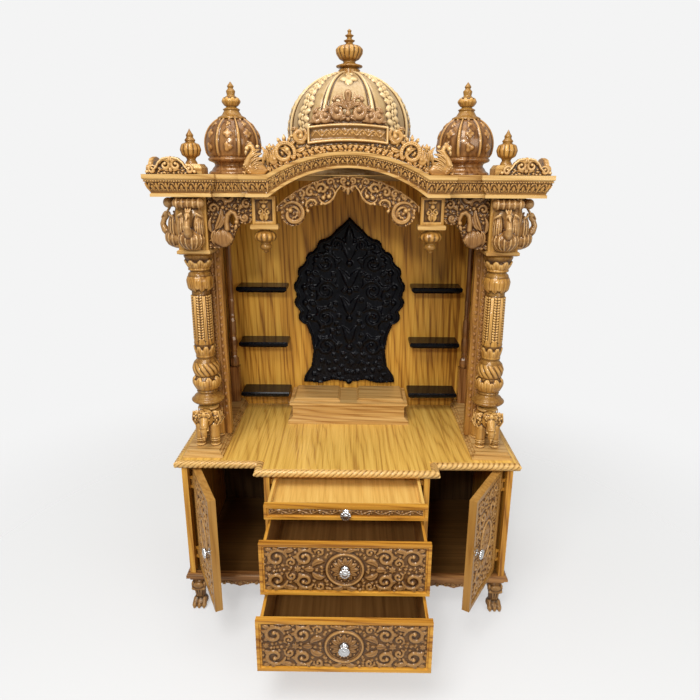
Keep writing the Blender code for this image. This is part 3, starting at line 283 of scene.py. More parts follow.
CARVED_PANEL = wood("carved_teak_panel", "X", (PANEL_DARK, PANEL, PANEL_LIGHT), 0.3, 0.3, carved=True,
                    ridge=PANEL_RIDGE_HIGHLIGHT, recess_shade=PANEL_RECESS_SHADE, shade=0.16)
CARVED_SHADE = wood("carved_teak_shade", "Z", (PANEL_DARK, PANEL, PANEL_LIGHT), 0.3, 0.35, carved=True,
                    ridge=(0.7, 0.43, 0.16, 1), recess_shade=PANEL_RECESS_SHADE, shade=0.34)
CARVED_DEEP = wood("carved_teak_deep", "Z", (RED_DARK, (0.19, 0.085, 0.025, 1), (0.3, 0.145, 0.045, 1)),
                   0.3, 0.35,
                   carved=True, ridge=(0.54, 0.31, 0.11, 1), recess_shade=PANEL_RECESS_SHADE, shade=0.34)
CARVED_FOOT = wood("carved_teak_foot", "Z", ((0.07, 0.028, 0.008, 1), (0.13, 0.058, 0.018, 1),
                                             (0.2, 0.095, 0.03, 1)),
                   0.36, 0.15, carved=True, ridge=(0.42, 0.23, 0.08, 1), recess_shade=(0.02, 0.008, 0.003, 1),
                   shade=0.36)
# Dome: the wood's golden colour paled and greyed toward white, partly the wood's own tone and partly a
# painted sheen of its whitish highlights.
CARVED_DOME = wood("carved_teak_dome", "Z", ((0.48, 0.29, 0.1, 1), (0.6, 0.41, 0.18, 1),
                                             (0.68, 0.49, 0.25, 1)),
                   0.26, 0.5, carved=True, ridge=(0.76, 0.57, 0.31, 1), recess_shade=(0.075, 0.032, 0.01, 1),
                   shade=0.32)
CARVED_CREST = wood("carved_teak_crest", "X", (PANEL, PANEL_LIGHT, (0.5, 0.26, 0.066, 1)), 0.3, 0.4,
                    carved=True,
                    ridge=(0.84, 0.58, 0.27, 1), recess_shade=(0.036, 0.012, 0.003, 1), shade=0.42)
CARVED_FLEUR = wood("carved_teak_fleur", "Z", (PANEL_DARK, (0.26, 0.125, 0.045, 1),
                                               (0.35, 0.185, 0.075, 1)), 0.28, 0.45,
                    carved=True, ridge=(0.52, 0.32, 0.15, 1), recess_shade=PANEL_RECESS_SHADE, shade=0.3)
CARVED_ROPE = wood("carved_teak_rope", "X", ((0.38, 0.19, 0.05, 1), (0.54, 0.3, 0.085, 1),
                                             (0.66, 0.4, 0.13, 1)),
                   carved=True, ridge=(0.74, 0.49, 0.19, 1), recess_shade=(0.075, 0.028, 0.008, 1), shade=0.35)
CARVED_BROWN = wood("carved_teak_brown", "Z", (RED_DARK, RED, RED_LIGHT), 0.24, 0.5, carved=True,
                    ridge=(0.52, 0.29, 0.085, 1), shade=0.2)
CARVED_POST = wood("carved_teak_post", "Z", (RED_DARK, RED, RED_LIGHT), 0.42, 0.08, carved=True,
                   ridge=RED_LIGHT, shade=0.2)
BROWN_BASE = wood("brown_base_teak", "X", (RED_DARK, RED, RED_LIGHT), 0.3, 0.3)
WALL_BROWN = wood("side_wall_teak", "Z", ((0.15, 0.056, 0.012, 1), (0.32, 0.14, 0.028, 1),
                                          (0.47, 0.23, 0.05, 1)))
POLISHED_BROWN = wood("polished_brown_teak", "Z", (RED_DARK, RED, RED_LIGHT), 0.25, 0.5)
BOARD_X = wood("teak_grain_across", "X")
BOARD_PALE = wood("teak_grain_pale", "X", ((0.3, 0.14, 0.034, 1), (0.5, 0.285, 0.086, 1),
                                           (0.64, 0.41, 0.155, 1)))
BOARD_RETURN = wood("teak_grain_return", "Y", ((0.3, 0.14, 0.034, 1), (0.5, 0.285, 0.086, 1),
                                               (0.64, 0.41, 0.155, 1)))
DOOR_TEAK = wood("door_teak", "Z", ((0.29, 0.135, 0.028, 1), (0.38, 0.19, 0.042, 1),
                                    (0.46, 0.245, 0.06, 1)))
BOARD_Y = wood("teak_grain_forward", "Y", (COUNTER_DARK, COUNTER, COUNTER_LIGHT), 0.3)
BOARD_Z = wood("teak_grain_upright", "Z")
WALL_GOLD = wood("back_wall_teak", "Z", ((0.27, 0.105, 0.014, 1), (0.58, 0.27, 0.036, 1),
                                         (0.78, 0.43, 0.07, 1)))
DULL = wood("dull_brown_teak", "Z", (BROWN_DARK, BROWN, BROWN_LIGHT), 0.5, 0.05)
LACQUER = lacquer()
SILVER = silver()


# Relief carving

class Carving:
    """A height field in metres on a flat field that runs from (x0, z0) to (x1, z1)."""

    def __init__(self, x0, x1, z0, z1, cell):
        self.columns = int(ceil((x1 - x0) / cell)) + 1
        self.rows = int(ceil((z1 - z0) / cell)) + 1
        self.xs = np.linspace(x0, x1, self.columns)
        self.zs = np.linspace(z0, z1, self.rows)
        self.high = np.zeros((self.rows, self.columns))

    def window(self, x0, x1, z0, z1):
        a, b = np.searchsorted(self.xs, (x0, x1))
        c, d = np.searchsorted(self.zs, (z0, z1))
        return slice(c, d), slice(a, b)

    def ridge(self, points, start, end=None, rise=None, swell=0.0, vein=0.0):
        """Round ridge along points, from one half width to another, wider by a swell in between."""
        end = start if end is None else end
        rise = start if rise is None else rise
        last = len(points) - 1
        widest = max(start, end) + swell
        for i in range(last):
            (ax, az), (bx, bz) = points[i], points[i + 1]
            wide = widest if swell else max(start + (end - start) * i / last,
                                            start + (end - start) * (i + 1) / last)
            area = self.window(min(ax, bx) - wide, max(ax, bx) + wide, min(az, bz) - wide,
                               max(az, bz) + wide)
            x = self.xs[area[1]][None, :]
            z = self.zs[area[0]][:, None]
            if not x.size or not z.size:
                continue
            dx, dz = bx - ax, bz - az
            along = np.clip(((x - ax) * dx + (z - az) * dz) / (dx * dx + dz * dz + 1e-12), 0, 1)
            away = np.hypot(x - ax - along * dx, z - az - along * dz)
            place = (i + along) / last
            half = start + (end - start) * place + swell * np.sin(pi * place)
            bulge = np.sqrt(np.clip(1 - (away / half) ** 2, 0, None))
            bulge = bulge * (1 - vein * np.exp(-(away / (0.22 * half)) ** 2))
            lift = rise * (half / widest) ** 0.5 * bulge
            self.high[area] = np.maximum(self.high[area], lift)

    def bead(self, x, z, radius, rise=None):
        self.ridge([(x, z), (x + 1e-6, z)], radius, radius, radius if rise is None else rise)

    def leaf(self, base, tip, half, rise, bend=0.0, vein=0.35):
        """Pointed leaf with a sunk vein, bent to one side by a share of its length."""
        (ax, az), (bx, bz) = base, tip
        long = hypot(bx - ax, bz - az)
        nx, nz = -(bz - az) / long, (bx - ax) / long
        spine = [(ax + (bx - ax) * t + nx * bend * long * 4 * t * (1 - t),
                  az + (bz - az) * t + nz * bend * long * 4 * t * (1 - t)) for t in np.linspace(0, 1, 9)]
        reach = half + 1e-4
        xs = [p[0] for p in spine]
        zs = [p[1] for p in spine]
        area = self.window(min(xs) - reach, max(xs) + reach, min(zs) - reach, max(zs) + reach)
        x = self.xs[area[1]][None, :]
        z = self.zs[area[0]][:, None]
        if not x.size or not z.size:
            return
        best = np.full((z.size, x.size), 1e9)
        place = np.zeros_like(best)
        for i in range(8):
            (px, pz), (qx, qz) = spine[i], spine[i + 1]
            dx, dz = qx - px, qz - pz
            along = np.clip(((x - px) * dx + (z - pz) * dz) / (dx * dx + dz * dz), 0, 1)
            away = np.hypot(x - px - along * dx, z - pz - along * dz)
            nearer = away < best
            best = np.where(nearer, away, best)
            place = np.where(nearer, (i + along) / 8, place)
        wide = half * np.sin(pi * np.clip(place, 0.02, 0.985) ** 0.75) + 1e-5
        share = np.clip(best / wide, 0, 1)
        lift = rise * np.sqrt(1 - share ** 2) * (1 - vein * np.exp(-(best / (0.16 * half)) ** 2))
        lift = lift * (0.65 + 0.35 * np.sin(pi * place ** 0.7))
        self.high[area] = np.maximum(self.high[area], np.where(best < wide, lift, 0))

    def curl(self, x, z, radius, start, turns=1.25, way=1, thick=None, rise=None, leaves=0):
        """Full scroll that starts at an angle on its rim and ends in a bead, with leaves on its back."""
        thick = radius * 0.17 if thick is None else thick
        rise = thick * 1.1 if rise is None else rise
        turns = 0.84 * turns
        steps = max(10, int(22 * turns))
        points = []
        for k in range(steps + 1):
            t = k / steps
            turn = radians(start) + way * tau * turns * t
            out = radius * (1 - 0.76 * t)
            points.append((x + out * cos(turn), z + out * sin(turn)))
        for k in range(leaves):
            t = (0.04 + 0.62 * k / max(1, leaves)) / turns
            turn = radians(start) + way * tau * turns * t
            out = radius * (1 - 0.76 * t)
            lean = turn + way * 0.75
            base = (x + 0.9 * out * cos(turn), z + 0.9 * out * sin(turn))
            tip = (x + out * cos(turn) + 0.62 * radius * cos(lean),
                   z + out * sin(turn) + 0.62 * radius * sin(lean))
            self.leaf(base, tip, 0.25 * radius, rise * 0.85, 0.2 * way)
        self.ridge(points, 0.75 * thick, 0.55 * thick, rise, 0.62 * thick, 0.3)
        self.bead(*points[-1], thick * 1.35, rise * 1.1)

    def pearls(self, x, z, radius, start, end, count, size):
        for k in range(count):
            turn = radians(start + (end - start) * k / max(1, count - 1))
            self.bead(x + radius * cos(turn), z + radius * sin(turn), size)

    def sprig(self, x, z, size, aim, rise, count=3):
        """Small fan of leaves with a bead at its foot."""
        for k in range(count):
            turn = radians(aim) + (k - (count - 1) / 2) * radians(52)
            long = size * (1.0 if abs(2 * k - count + 1) < 1 else 0.85)
            self.leaf((x, z), (x + long * cos(turn), z + long * sin(turn)), 0.24 * size, rise,
                      0.12 * (1 - k))
        self.bead(x, z, 0.2 * size, rise)

    def rosette(self, x, z, size, petals, rise):
        for k in range(petals):
            turn = tau * k / petals + pi / 2
            self.leaf((x, z), (x + size * cos(turn), z + size * sin(turn)), size * 2.0 / petals, rise, 0,
                      0.2)
        self.bead(x, z, 0.24 * size, rise * 1.25)

    def fill(self, size, count, rise, seed, inside=None):
        """Put small sprigs and beads where the ground is still bare."""
        chance = np.random.RandomState(seed)
        reach = max(1, int(size / (self.xs[1] - self.xs[0])))
        for _ in range(count):
            cover = blur((self.high > 0).astype(float), reach)
            cover[:2] = cover[-2:] = 1
            cover[:, :2] = cover[:, -2:] = 1
            if inside is not None:
                cover = np.where(inside, cover, 9)
            cover = cover + 0.02 * chance.rand(*cover.shape)
            row, column = np.unravel_index(np.argmin(cover), cover.shape)
            if cover[row, column] > 0.55:
                break
            aim = chance.randint(0, 8) * 45
            self.sprig(self.xs[column], self.zs[row], size * (0.8 + 0.4 * chance.rand()), aim, rise, 3)

    def mirror_x(self):
        self.high = np.maximum(self.high, self.high[:, ::-1])


THIN_FROM = 5000     # faces, from which a mesh is thinned
THIN_SHARE = 0.46    # share of its triangles that stays


def blur(field, reach, wrap=False):
    """Box average over a square of cells."""
    mode = "wrap" if wrap else "edge"
    padded = np.pad(field, reach, mode=mode)
    total = np.cumsum(np.cumsum(np.pad(padded, ((1, 0), (1, 0))), 0), 1)
    n = 2 * reach + 1
    return (total[n:, n:] - total[:-n, n:] - total[n:, :-n] + total[:-n, :-n]) / (n * n)


def cavity_of(high, depth, reach=3, wrap=False):
    """0 in the hollows, 0.5 on plain ground and 1 on proud ridges; the carved finishes paint shade and
    highlight from these values.
    """
    around = blur(blur(high, reach, wrap), reach, wrap)
    relative = (high - around) / depth
    return np.clip(0.45 + 0.95 * relative + 0.2 * (high / depth - 0.3), 0, 1)


def grid_mesh(name, points, cavity, keep=None, back=None, wrap=False, flip=False):
    """Mesh on a grid of points. Cells are left out where keep is False, and walls go down to a back."""
    rows, columns = points.shape[:2]
    index = np.arange(rows * columns).reshape(rows, columns)
    if wrap:
        index = np.concatenate([index, index[:, :1]], 1)
    quads = np.stack([index[:-1, :-1], index[:-1, 1:], index[1:, 1:], index[1:, :-1]], -1)
    whole = np.ones(quads.shape[:2], bool) if keep is None else keep
    faces = [quads[whole]]
    vertices = [points.reshape(-1, 3)]
    values = [cavity.reshape(-1)]
    if back is not None:
        step = rows * columns
        vertices.append(back.reshape(-1, 3))
        values.append(np.minimum(cavity.reshape(-1), 0.5))
        faces.append(quads[whole][:, ::-1] + step)
        ring = np.pad(whole, 1)
        for shift, first, second in (((0, 1), 0, 1), ((2, 1), 2, 3), ((1, 0), 3, 0), ((1, 2), 1, 2)):
            beside = ring[shift[0]:shift[0] + whole.shape[0], shift[1]:shift[1] + whole.shape[1]]
            edge = quads[whole & ~beside]
            faces.append(np.stack([edge[:, second], edge[:, first], edge[:, first] + step,
                                   edge[:, second] + step], -1))
    faces = np.concatenate(faces)
    vertices = np.concatenate(vertices)
    values = np.concatenate(values)
    used = np.unique(faces)
    place = np.zeros(len(vertices), int)
    place[used] = np.arange(len(used))
    faces = place[faces]
    if flip:
        faces = faces[:, ::-1]
    return mesh_piece(name, vertices[used], faces, values[used])


def thinned(mesh):
    """The same form with fewer points, which come out first where it is flat, as at a carving's back."""
    if len(mesh.polygons) < THIN_FROM:
        return mesh
    carrier = bpy.data.objects.new(mesh.name, mesh)
    bpy.context.scene.collection.objects.link(carrier)
    modifier = carrier.modifiers.new("thin", "DECIMATE")
    modifier.ratio = THIN_SHARE
    graph = bpy.context.evaluated_depsgraph_get()
    lighter = bpy.data.meshes.new_from_object(carrier.evaluated_get(graph))
    bpy.data.objects.remove(carrier, do_unlink=True)
    name = mesh.name
    bpy.data.meshes.remove(mesh)
    lighter.name = name
    return lighter


def mesh_piece(name, vertices, faces, cavity, smooth=True):
    mesh = bpy.data.meshes.new(name)
    mesh.from_pydata([tuple(v) for v in vertices], [], [tuple(f) for f in faces])
    mesh.polygons.foreach_set("use_smooth", [smooth] * len(mesh.polygons))
    layer = mesh.attributes.new("cavity", "FLOAT", "POINT")
    layer.data.foreach_set("value", np.asarray(cavity, np.float32))
    made = bpy.data.objects.new(name, thinned(mesh))
    bpy.context.scene.collection.objects.link(made)
    return made


def dress(piece, material, body="cabinet", replaces=()):
    """Give a piece its finish and its body, and hide the solids it stands for."""
    piece.data.materials.clear()
    piece.data.materials.append(material)
    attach(piece, body)
    if replaces:
        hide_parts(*replaces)
    return piece


def flat_relief(name, carving, place, depth, keep=None, back=0.0, flip=False, reach=3):
    """Mesh of a carving, put in place by a function of x, z and height."""
    x, z = np.meshgrid(carving.xs, carving.zs)
    points = place(x, z, carving.high)
    rear = place(x, z, np.full_like(carving.high, back))
    cells = None
    if keep is not None:
        cells = keep[:-1, :-1] & keep[:-1, 1:] & keep[1:, 1:] & keep[1:, :-1]
    return grid_mesh(name, points, cavity_of(carving.high, depth, reach), cells, rear, False, flip)


def facing_front(y, sunk=0.0):
    """Place function for a carving on an upright plane that faces -Y."""
    return lambda x, z, high: np.stack([x, y - high + sunk + 0 * x, z], -1)


# Sunk panels of the doors and drawers

def sunk_panel(name, carving, place, material, body):
    made = flat_relief(name, carving, place, 0.0055, back=-0.001)
    return dress(made, material, body)


def drawer_carving(half, low, high):
    """Two rows of scrolls on each side of a round medallion with a lotus."""
    c = Carving(-half, half, low, high, 0.0016)
    mid = (low + high) / 2
    for way in (-1, 1):
        c.curl(0.112, mid + way * 0.038, 0.026, 150 * way, 1.55, -way, 0.0042, 0.0058, 4)
        c.pearls(0.112, mid + way * 0.038, 0.0185, 70 * way, -80 * way, 7, 0.002)
        c.curl(0.19, mid + way * 0.036, 0.029, 170 * way, 1.45, -way, 0.0044, 0.006, 4)
        c.pearls(0.19, mid + way * 0.036, 0.0205, 80 * way, -70 * way, 8, 0.0021)
        c.curl(0.149, mid + way * 0.022, 0.014, -60 * way, 1.3, way, 0.0032, 0.0052, 2)
        c.curl(0.07, mid + way * 0.055, 0.013, -10 * way, 1.3, way, 0.003, 0.005, 2)
        c.leaf((0.058, mid + way * 0.026), (0.092, mid + way * 0.006), 0.01, 0.0052, 0.22 * way)
        c.leaf((0.142, mid + way * 0.06), (0.168, mid + way * 0.048), 0.008, 0.0048, 0.2 * way)
        c.leaf((half - 0.004, mid + way * (high - mid - 0.004)), (half - 0.026, mid + way * 0.058), 0.007,
               0.0046)
        c.leaf((0.004, mid + way * 0.055), (0.036, mid + way * 0.062), 0.008, 0.005, 0.18 * way)
        c.bead(0.0, mid + way * 0.059, 0.0045)
    c.rosette(0.132, mid, 0.012, 6, 0.0046)
    c.rosette(half - 0.012, mid, 0.01, 6, 0.0042)
    c.leaf((0.086, mid), (0.116, mid), 0.01, 0.005)
    ring = [(0.0505 * cos(t), mid + 0.0505 * sin(t)) for t in np.linspace(0, tau, 61)]
    c.ridge(ring, 0.004, 0.004, 0.0062)
    inner = [(0.0445 * cos(t), mid + 0.0445 * sin(t)) for t in np.linspace(0, tau, 61)]
    c.ridge(inner, 0.0016, 0.0016, 0.0024)
    for k in range(12):
        turn = tau * k / 12
        tip = (0.04 * cos(turn), mid + 0.04 * sin(turn))
        c.leaf((0.013 * cos(turn), mid + 0.013 * sin(turn)), tip, 0.0088, 0.0056, 0.0, 0.45)
        c.bead(0.0385 * cos(turn + tau / 24), mid + 0.0385 * sin(turn + tau / 24), 0.0026, 0.004)
    c.mirror_x()
    c.fill(0.0085, 110, 0.004, 3)
    return c


def tray_carving(half, low, high):
    """Running leaf band."""
    c = Carving(-half, half, low, high, 0.0012)
    mid = (low + high) / 2
    tall = (high - low) / 2
    period = 0.03
    count = int(half / period)
    wave = [(x, mid + 0.55 * tall * sin(pi * x / period)) for x in np.linspace(0, half, 160)]
    c.ridge(wave, 0.0014, 0.0014, 0.0028)
    for k in range(count + 1):
        x = (k + 0.5) * period
        way = -1 if k % 2 else 1
        c.curl(x, mid - way * 0.1 * tall, 0.42 * tall, 90 * way, 1.0, way, 0.0013, 0.0028)
        c.leaf((x + 0.006, mid + way * 0.3 * tall), (x + 0.016, mid + way * 0.85 * tall), 0.003, 0.003, 0.2)
        c.leaf((x - 0.006, mid - way * 0.3 * tall), (x - 0.014, mid - way * 0.85 * tall), 0.003, 0.003, 0.2)
    c.mirror_x()
    return c


def door_carving(width, low, high):
    """Oval medallion between two tiers of scrolls."""
    c = Carving(-width / 2, width / 2, low, high, 0.0018)
    mid = (low + high) / 2
    for way in (-1, 1):
        c.curl(0.046, mid + way * 0.098, 0.034, 100 * way, 1.5, -way, 0.005, 0.0068, 4)
        c.pearls(0.046, mid + way * 0.098, 0.024, 60 * way, -90 * way, 9, 0.0022)
        c.curl(0.064, mid + way * 0.142, 0.025, 200 * way, 1.4, -way, 0.0042, 0.0062, 3)
        c.curl(0.022, mid + way * 0.146, 0.02, -30 * way, 1.3, way, 0.0038, 0.0058, 3)
        c.curl(0.072, mid + way * 0.052, 0.02, -90 * way, 1.4, way, 0.0038, 0.006, 3)
        c.leaf((0.0, mid + way * 0.07), (0.0, mid + way * 0.112), 0.012, 0.0066)
        c.leaf((0.0, mid + way * 0.072), (0.02, mid + way * 0.104), 0.009, 0.0058, -0.2 * way)
        c.leaf((0.09, mid + way * 0.166), (0.066, mid + way * 0.166), 0.008, 0.005)
    c.leaf((0.062, mid), (0.092, mid), 0.012, 0.0058)
    ring = [(0.046 * cos(t), mid + 0.064 * sin(t)) for t in np.linspace(0, tau, 61)]
    c.ridge(ring, 0.0044, 0.0044, 0.0068)
    for k in range(12):
        turn = tau * k / 12
        tip = (0.038 * cos(turn), mid + 0.054 * sin(turn))
        c.leaf((0.012 * cos(turn), mid + 0.016 * sin(turn)), tip, 0.01, 0.0062, 0.0, 0.45)
    c.rosette(0.0, mid, 0.016, 8, 0.007)
    c.mirror_x()
    c.fill(0.01, 90, 0.0046, 5)
    return c


def drawer_panels():
    margin = 0.014
    for word in ("lower", "middle", "tray"):
        low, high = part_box(word + "_drawer_front")
        draw = tray_carving if word == "tray" else drawer_carving
        carving = draw(high.x - margin, low.z + margin, high.z - margin)
        ground = low.y + 0.0047
        sunk_panel(word + "_drawer_carving", carving, facing_front(ground), CARVED_DRAWER, word + "_drawer")


def door_turn(word):
    """How far a door stands open from closed, in radians, and its hinge point."""
    joint = JOINTS[word + "_door_hinge"]
    shut = max(joint["range_deg"], key=abs)
    return -radians(shut), Vector(joint["pos_m"])


def door_panels():
    wide, margin = 0.2418, 0.022
    for side, word in SIDES:
        turn, hinge = door_turn(word)
        low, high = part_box(word + "_door")
        carving = door_carving(wide - 2 * margin, low.z + margin, high.z - margin)
        middle = -side * (0.002 + wide / 2)

        def place(x, z, up, turn=turn, hinge=hinge, middle=middle):
            across = x + middle
            deep = 0.0057 - up
            return np.stack([hinge.x + cos(turn) * across - sin(turn) * deep,
                             hinge.y + sin(turn) * across + cos(turn) * deep, z], -1)

        sunk_panel(word + "_door_carving", carving, place, CARVED_PANEL, word + "_leaf")


# Boards of the arch, carved through

def arch_board():
    """Two hanging lobes a side under a curved top edge, with a leaf drop in the middle."""
    low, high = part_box("cusped_arch")
    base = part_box("cornice")[0].z
    edge = high.x
    c = Carving(low.x, high.x, low.z - 0.001, high.z, 0.0016)
    x, z = np.meshgrid(np.abs(c.xs), c.zs)
    rise = 0.0875
    radius = (edge ** 2 + rise ** 2) / (2 * rise)
    under = z < np.sqrt(radius ** 2 - x ** 2) + high.z - radius
    floor = ((0, 0.003), (0.014, 0.0144), (0.024, 0.022), (0.031, 0.0144), (0.04, -0.006), (0.052, -0.018),
             (0.066, -0.0245), (0.08, -0.0235), (0.096, -0.026), (0.11, -0.03), (0.12, -0.034),
             (0.1255, -0.03),
             (edge, -0.044))
    keep = z > np.interp(x, [p[0] for p in floor], [p[1] for p in floor]) + base
    ax, az, ar = 0.1627, base - 0.0485, 0.0372
    keep |= np.hypot(x - ax, z - az) < ar
    keep |= np.hypot(x - 0.119, z - base + 0.04) < 0.0075
    keep &= under
    arch_rims(c, base, edge)
    outer_lobe(c, ax, az)
    inner_lobe(c, base)
    arch_middle(c, base)
    crest = [(t, sqrt(radius ** 2 - t * t) + high.z - radius - 0.0035) for t in np.linspace(0, edge, 30)]
    c.ridge(crest, 0.0026, 0.0026, 0.006)
    c.mirror_x()
    c.fill(0.008, 110, 0.0072, 7, keep)
    c.high = np.maximum(c.high, 0.0015)
    made = flat_relief("arch_carving", c, facing_front(low.y, 0.0075), 0.01, keep, -0.016)
    dress(made, CARVED_SHADE, replaces=("cusped_arch",))


def arch_rims(c, base, edge):
    """Rolled border under the inner lobe and the beaded bridge between the lobes."""
    lower = ((0.025, 0.026), (0.032, 0.018), (0.0425, -0.002), (0.0535, -0.0135), (0.066, -0.0195))
    c.ridge([(x, base + z) for x, z in lower], 0.0034, 0.0034, 0.0095)
    bridge = [(0.124, -0.0265), (0.1215, -0.015), (0.111, -0.0085), (0.099, -0.01), (0.0925, -0.018),
              (0.0965, -0.0235)]
    c.ridge([(x, base + z) for x, z in bridge], 0.004, 0.0032, 0.0095, 0.0008)
    for k in range(5):
        turn = radians(20 + 34 * k)
        c.bead(0.109 + 0.0085 * cos(turn), base - 0.022 + 0.0085 * sin(turn), 0.0021, 0.008)
    c.bead(0.1185, base - 0.0405, 0.0062, 0.0105)
    c.bead(0.0785, base - 0.0215, 0.0052, 0.01)
    c.ridge([(edge - 0.004, base - 0.046), (edge - 0.004, base - 0.006)], 0.0036, 0.0036, 0.008)


def outer_lobe(c, x, z):
    """One wide band that goes over, round and under and ends in an eye, with pearls along its top."""
    band = []
    for t in np.linspace(0, 1, 34):
        turn = radians(38 + 372 * t)
        out = 0.0335 * (1 - 0.64 * t ** 1.7)
        band.append((x + out * cos(turn), z + out * sin(turn)))
    c.ridge(band, 0.003, 0.004, 0.0105, 0.0042, 0.25)
    c.bead(*band[-1], 0.0082, 0.0118)
    c.pearls(x, z, 0.0252, 40, 152, 8, 0.0027)
    hook = [(x + 0.019 * cos(t), z + 0.019 * sin(t)) for t in np.radians(np.linspace(62, 205, 9))]
    c.ridge(hook, 0.0022, 0.003, 0.0095, 0.0018, 0.4)
    c.bead(x + 0.017, z + 0.012, 0.005, 0.01)
    for k in range(4):
        turn = radians(150 + 32 * k)
        c.leaf((x + 0.011 * cos(turn), z + 0.011 * sin(turn)),
               (x + 0.019 * cos(turn + 0.5), z + 0.019 * sin(turn + 0.5)), 0.0038, 0.009, 0.2)
    for k in range(5):
        turn = radians(60 + 26 * k)
        c.leaf((x + 0.036 * cos(turn), z + 0.036 * sin(turn)),
               (x + 0.048 * cos(turn - 0.25), z + 0.048 * sin(turn - 0.25)), 0.005, 0.0085, 0.2)


def inner_lobe(c, base):
    """Crescent round two commas, with a pearled scroll over it and smaller scrolls beside."""
    x, z = 0.0635, base + 0.004
    band = []
    for t in np.linspace(0, 1, 22):
        turn = radians(120 + 215 * t)
        out = 0.0265 * (1 - 0.1 * t)
        band.append((x + out * cos(turn), z + out * sin(turn)))
    c.ridge(band, 0.0022, 0.0026, 0.01, 0.0034, 0.25)
    for dx, dz, size in ((0.0085, -0.0065, 0.0074), (-0.0075, -0.003, 0.0078)):
        c.bead(x + dx, z + dz, size, 0.0115)
        c.ridge([(x + dx, z + dz), (x + dx - 0.005, z + dz + 0.008), (x + dx - 0.003, z + dz + 0.015)],
                size * 0.7,
                0.002, 0.01)
    c.curl(0.076, base + 0.0225, 0.017, -15, 1.25, 1, 0.0042, 0.0105, 3)
    c.pearls(0.076, base + 0.0225, 0.0112, 40, 150, 5, 0.0019)
    c.bead(0.085, base + 0.0165, 0.0062, 0.0112)
    c.bead(0.061, base + 0.026, 0.0058, 0.0108)
    c.curl(0.111, base + 0.013, 0.014, 150, 1.25, -1, 0.0044, 0.01, 3)
    c.curl(0.137, base + 0.008, 0.012, 20, 1.25, 1, 0.004, 0.0095, 3)
    c.curl(0.162, base - 0.001, 0.0085, 160, 1.2, -1, 0.0032, 0.009, 2)
    c.curl(0.095, base + 0.036, 0.01, 0, 1.2, 1, 0.0034, 0.0095, 2)
    c.curl(0.052, base + 0.042, 0.011, 200, 1.2, -1, 0.0036, 0.0095, 3)
    for x0, z0, x1, z1 in ((0.128, -0.004, 0.14, -0.012), (0.098, 0.004, 0.09, 0.012),
                           (0.12, 0.028, 0.108, 0.034),
                           (0.036, 0.022, 0.044, 0.036), (0.068, 0.048, 0.08, 0.046),
                           (0.034, 0.052, 0.046, 0.056)):
        c.leaf((x0, base + z0), (x1, base + z1), 0.0046, 0.009, 0.2)


def arch_middle(c, base):
    """Hanging leaf drop under a pair of scrolls."""
    c.ridge([(0.026, base + 0.024), (0.0225, base + 0.031), (0.015, base + 0.03), (0.009, base + 0.025)],
            0.0034,
            0.0026, 0.01)
    c.leaf((0.0, base + 0.03), (0.0, base + 0.0025), 0.0062, 0.0118)
    c.leaf((0.003, base + 0.029), (0.011, base + 0.012), 0.005, 0.0105, 0.15)
    c.leaf((0.006, base + 0.031), (0.019, base + 0.02), 0.0042, 0.0095, 0.15)
    c.curl(0.0125, base + 0.0455, 0.0105, 250, 1.25, 1, 0.0036, 0.0105, 3)
    c.bead(0.0, base + 0.038, 0.0058, 0.0118)
    c.bead(0.0, base + 0.052, 0.0045, 0.0105)
    c.leaf((0.0, base + 0.054), (0.0, base + 0.07), 0.005, 0.0095)
    c.leaf((0.004, base + 0.06), (0.022, base + 0.064), 0.005, 0.009, 0.2)
    c.bead(0.03, base + 0.044, 0.0046, 0.0095)


def spandrel_carving(low, high):
    """Swan with a bent neck under a run of scrolls, drawn for the right side from the post outward."""
    c = Carving(low.x, high.x, low.z, high.z, 0.0015)
    wide = high.x - low.x
    tall = high.z - low.z

    def at(u, v):
        return low.x + u * wide, low.z + v * tall

    c.curl(*at(0.52, 0.79), 0.027, 150, 1.45, -1, 0.0052, 0.0108, 5)
    c.pearls(*at(0.52, 0.79), 0.018, 140, -40, 8, 0.0023)
    c.curl(*at(0.79, 0.8), 0.019, 60, 1.35, 1, 0.0046, 0.01, 4)
    c.curl(*at(0.86, 0.6), 0.014, 200, 1.25, -1, 0.004, 0.01, 3)
    c.curl(*at(0.18, 0.87), 0.017, 200, 1.3, 1, 0.0046, 0.0105, 3)
    c.bead(*at(0.26, 0.95), 0.0048, 0.01)
    c.curl(*at(0.13, 0.67), 0.013, 100, 1.25, -1, 0.004, 0.0098, 3)
    c.curl(*at(0.19, 0.47), 0.0125, 20, 1.25, -1, 0.0042, 0.0105, 2)
    c.bead(*at(0.19, 0.46), 0.006, 0.0115)
    c.rosette(*at(0.26, 0.63), 0.0095, 6, 0.01)
    for u, v in ((0.05, 0.5), (0.05, 0.57), (0.38, 0.93), (0.36, 0.6), (0.95, 0.92), (0.95, 0.7)):
        c.bead(*at(u, v), 0.0044, 0.009)
    c.leaf(at(0.34, 0.66), at(0.42, 0.58), 0.005, 0.0095, 0.2)
    c.leaf(at(0.04, 0.8), at(0.05, 0.96), 0.0048, 0.009, 0.2)
    swan_in_profile(c, at)
    return c


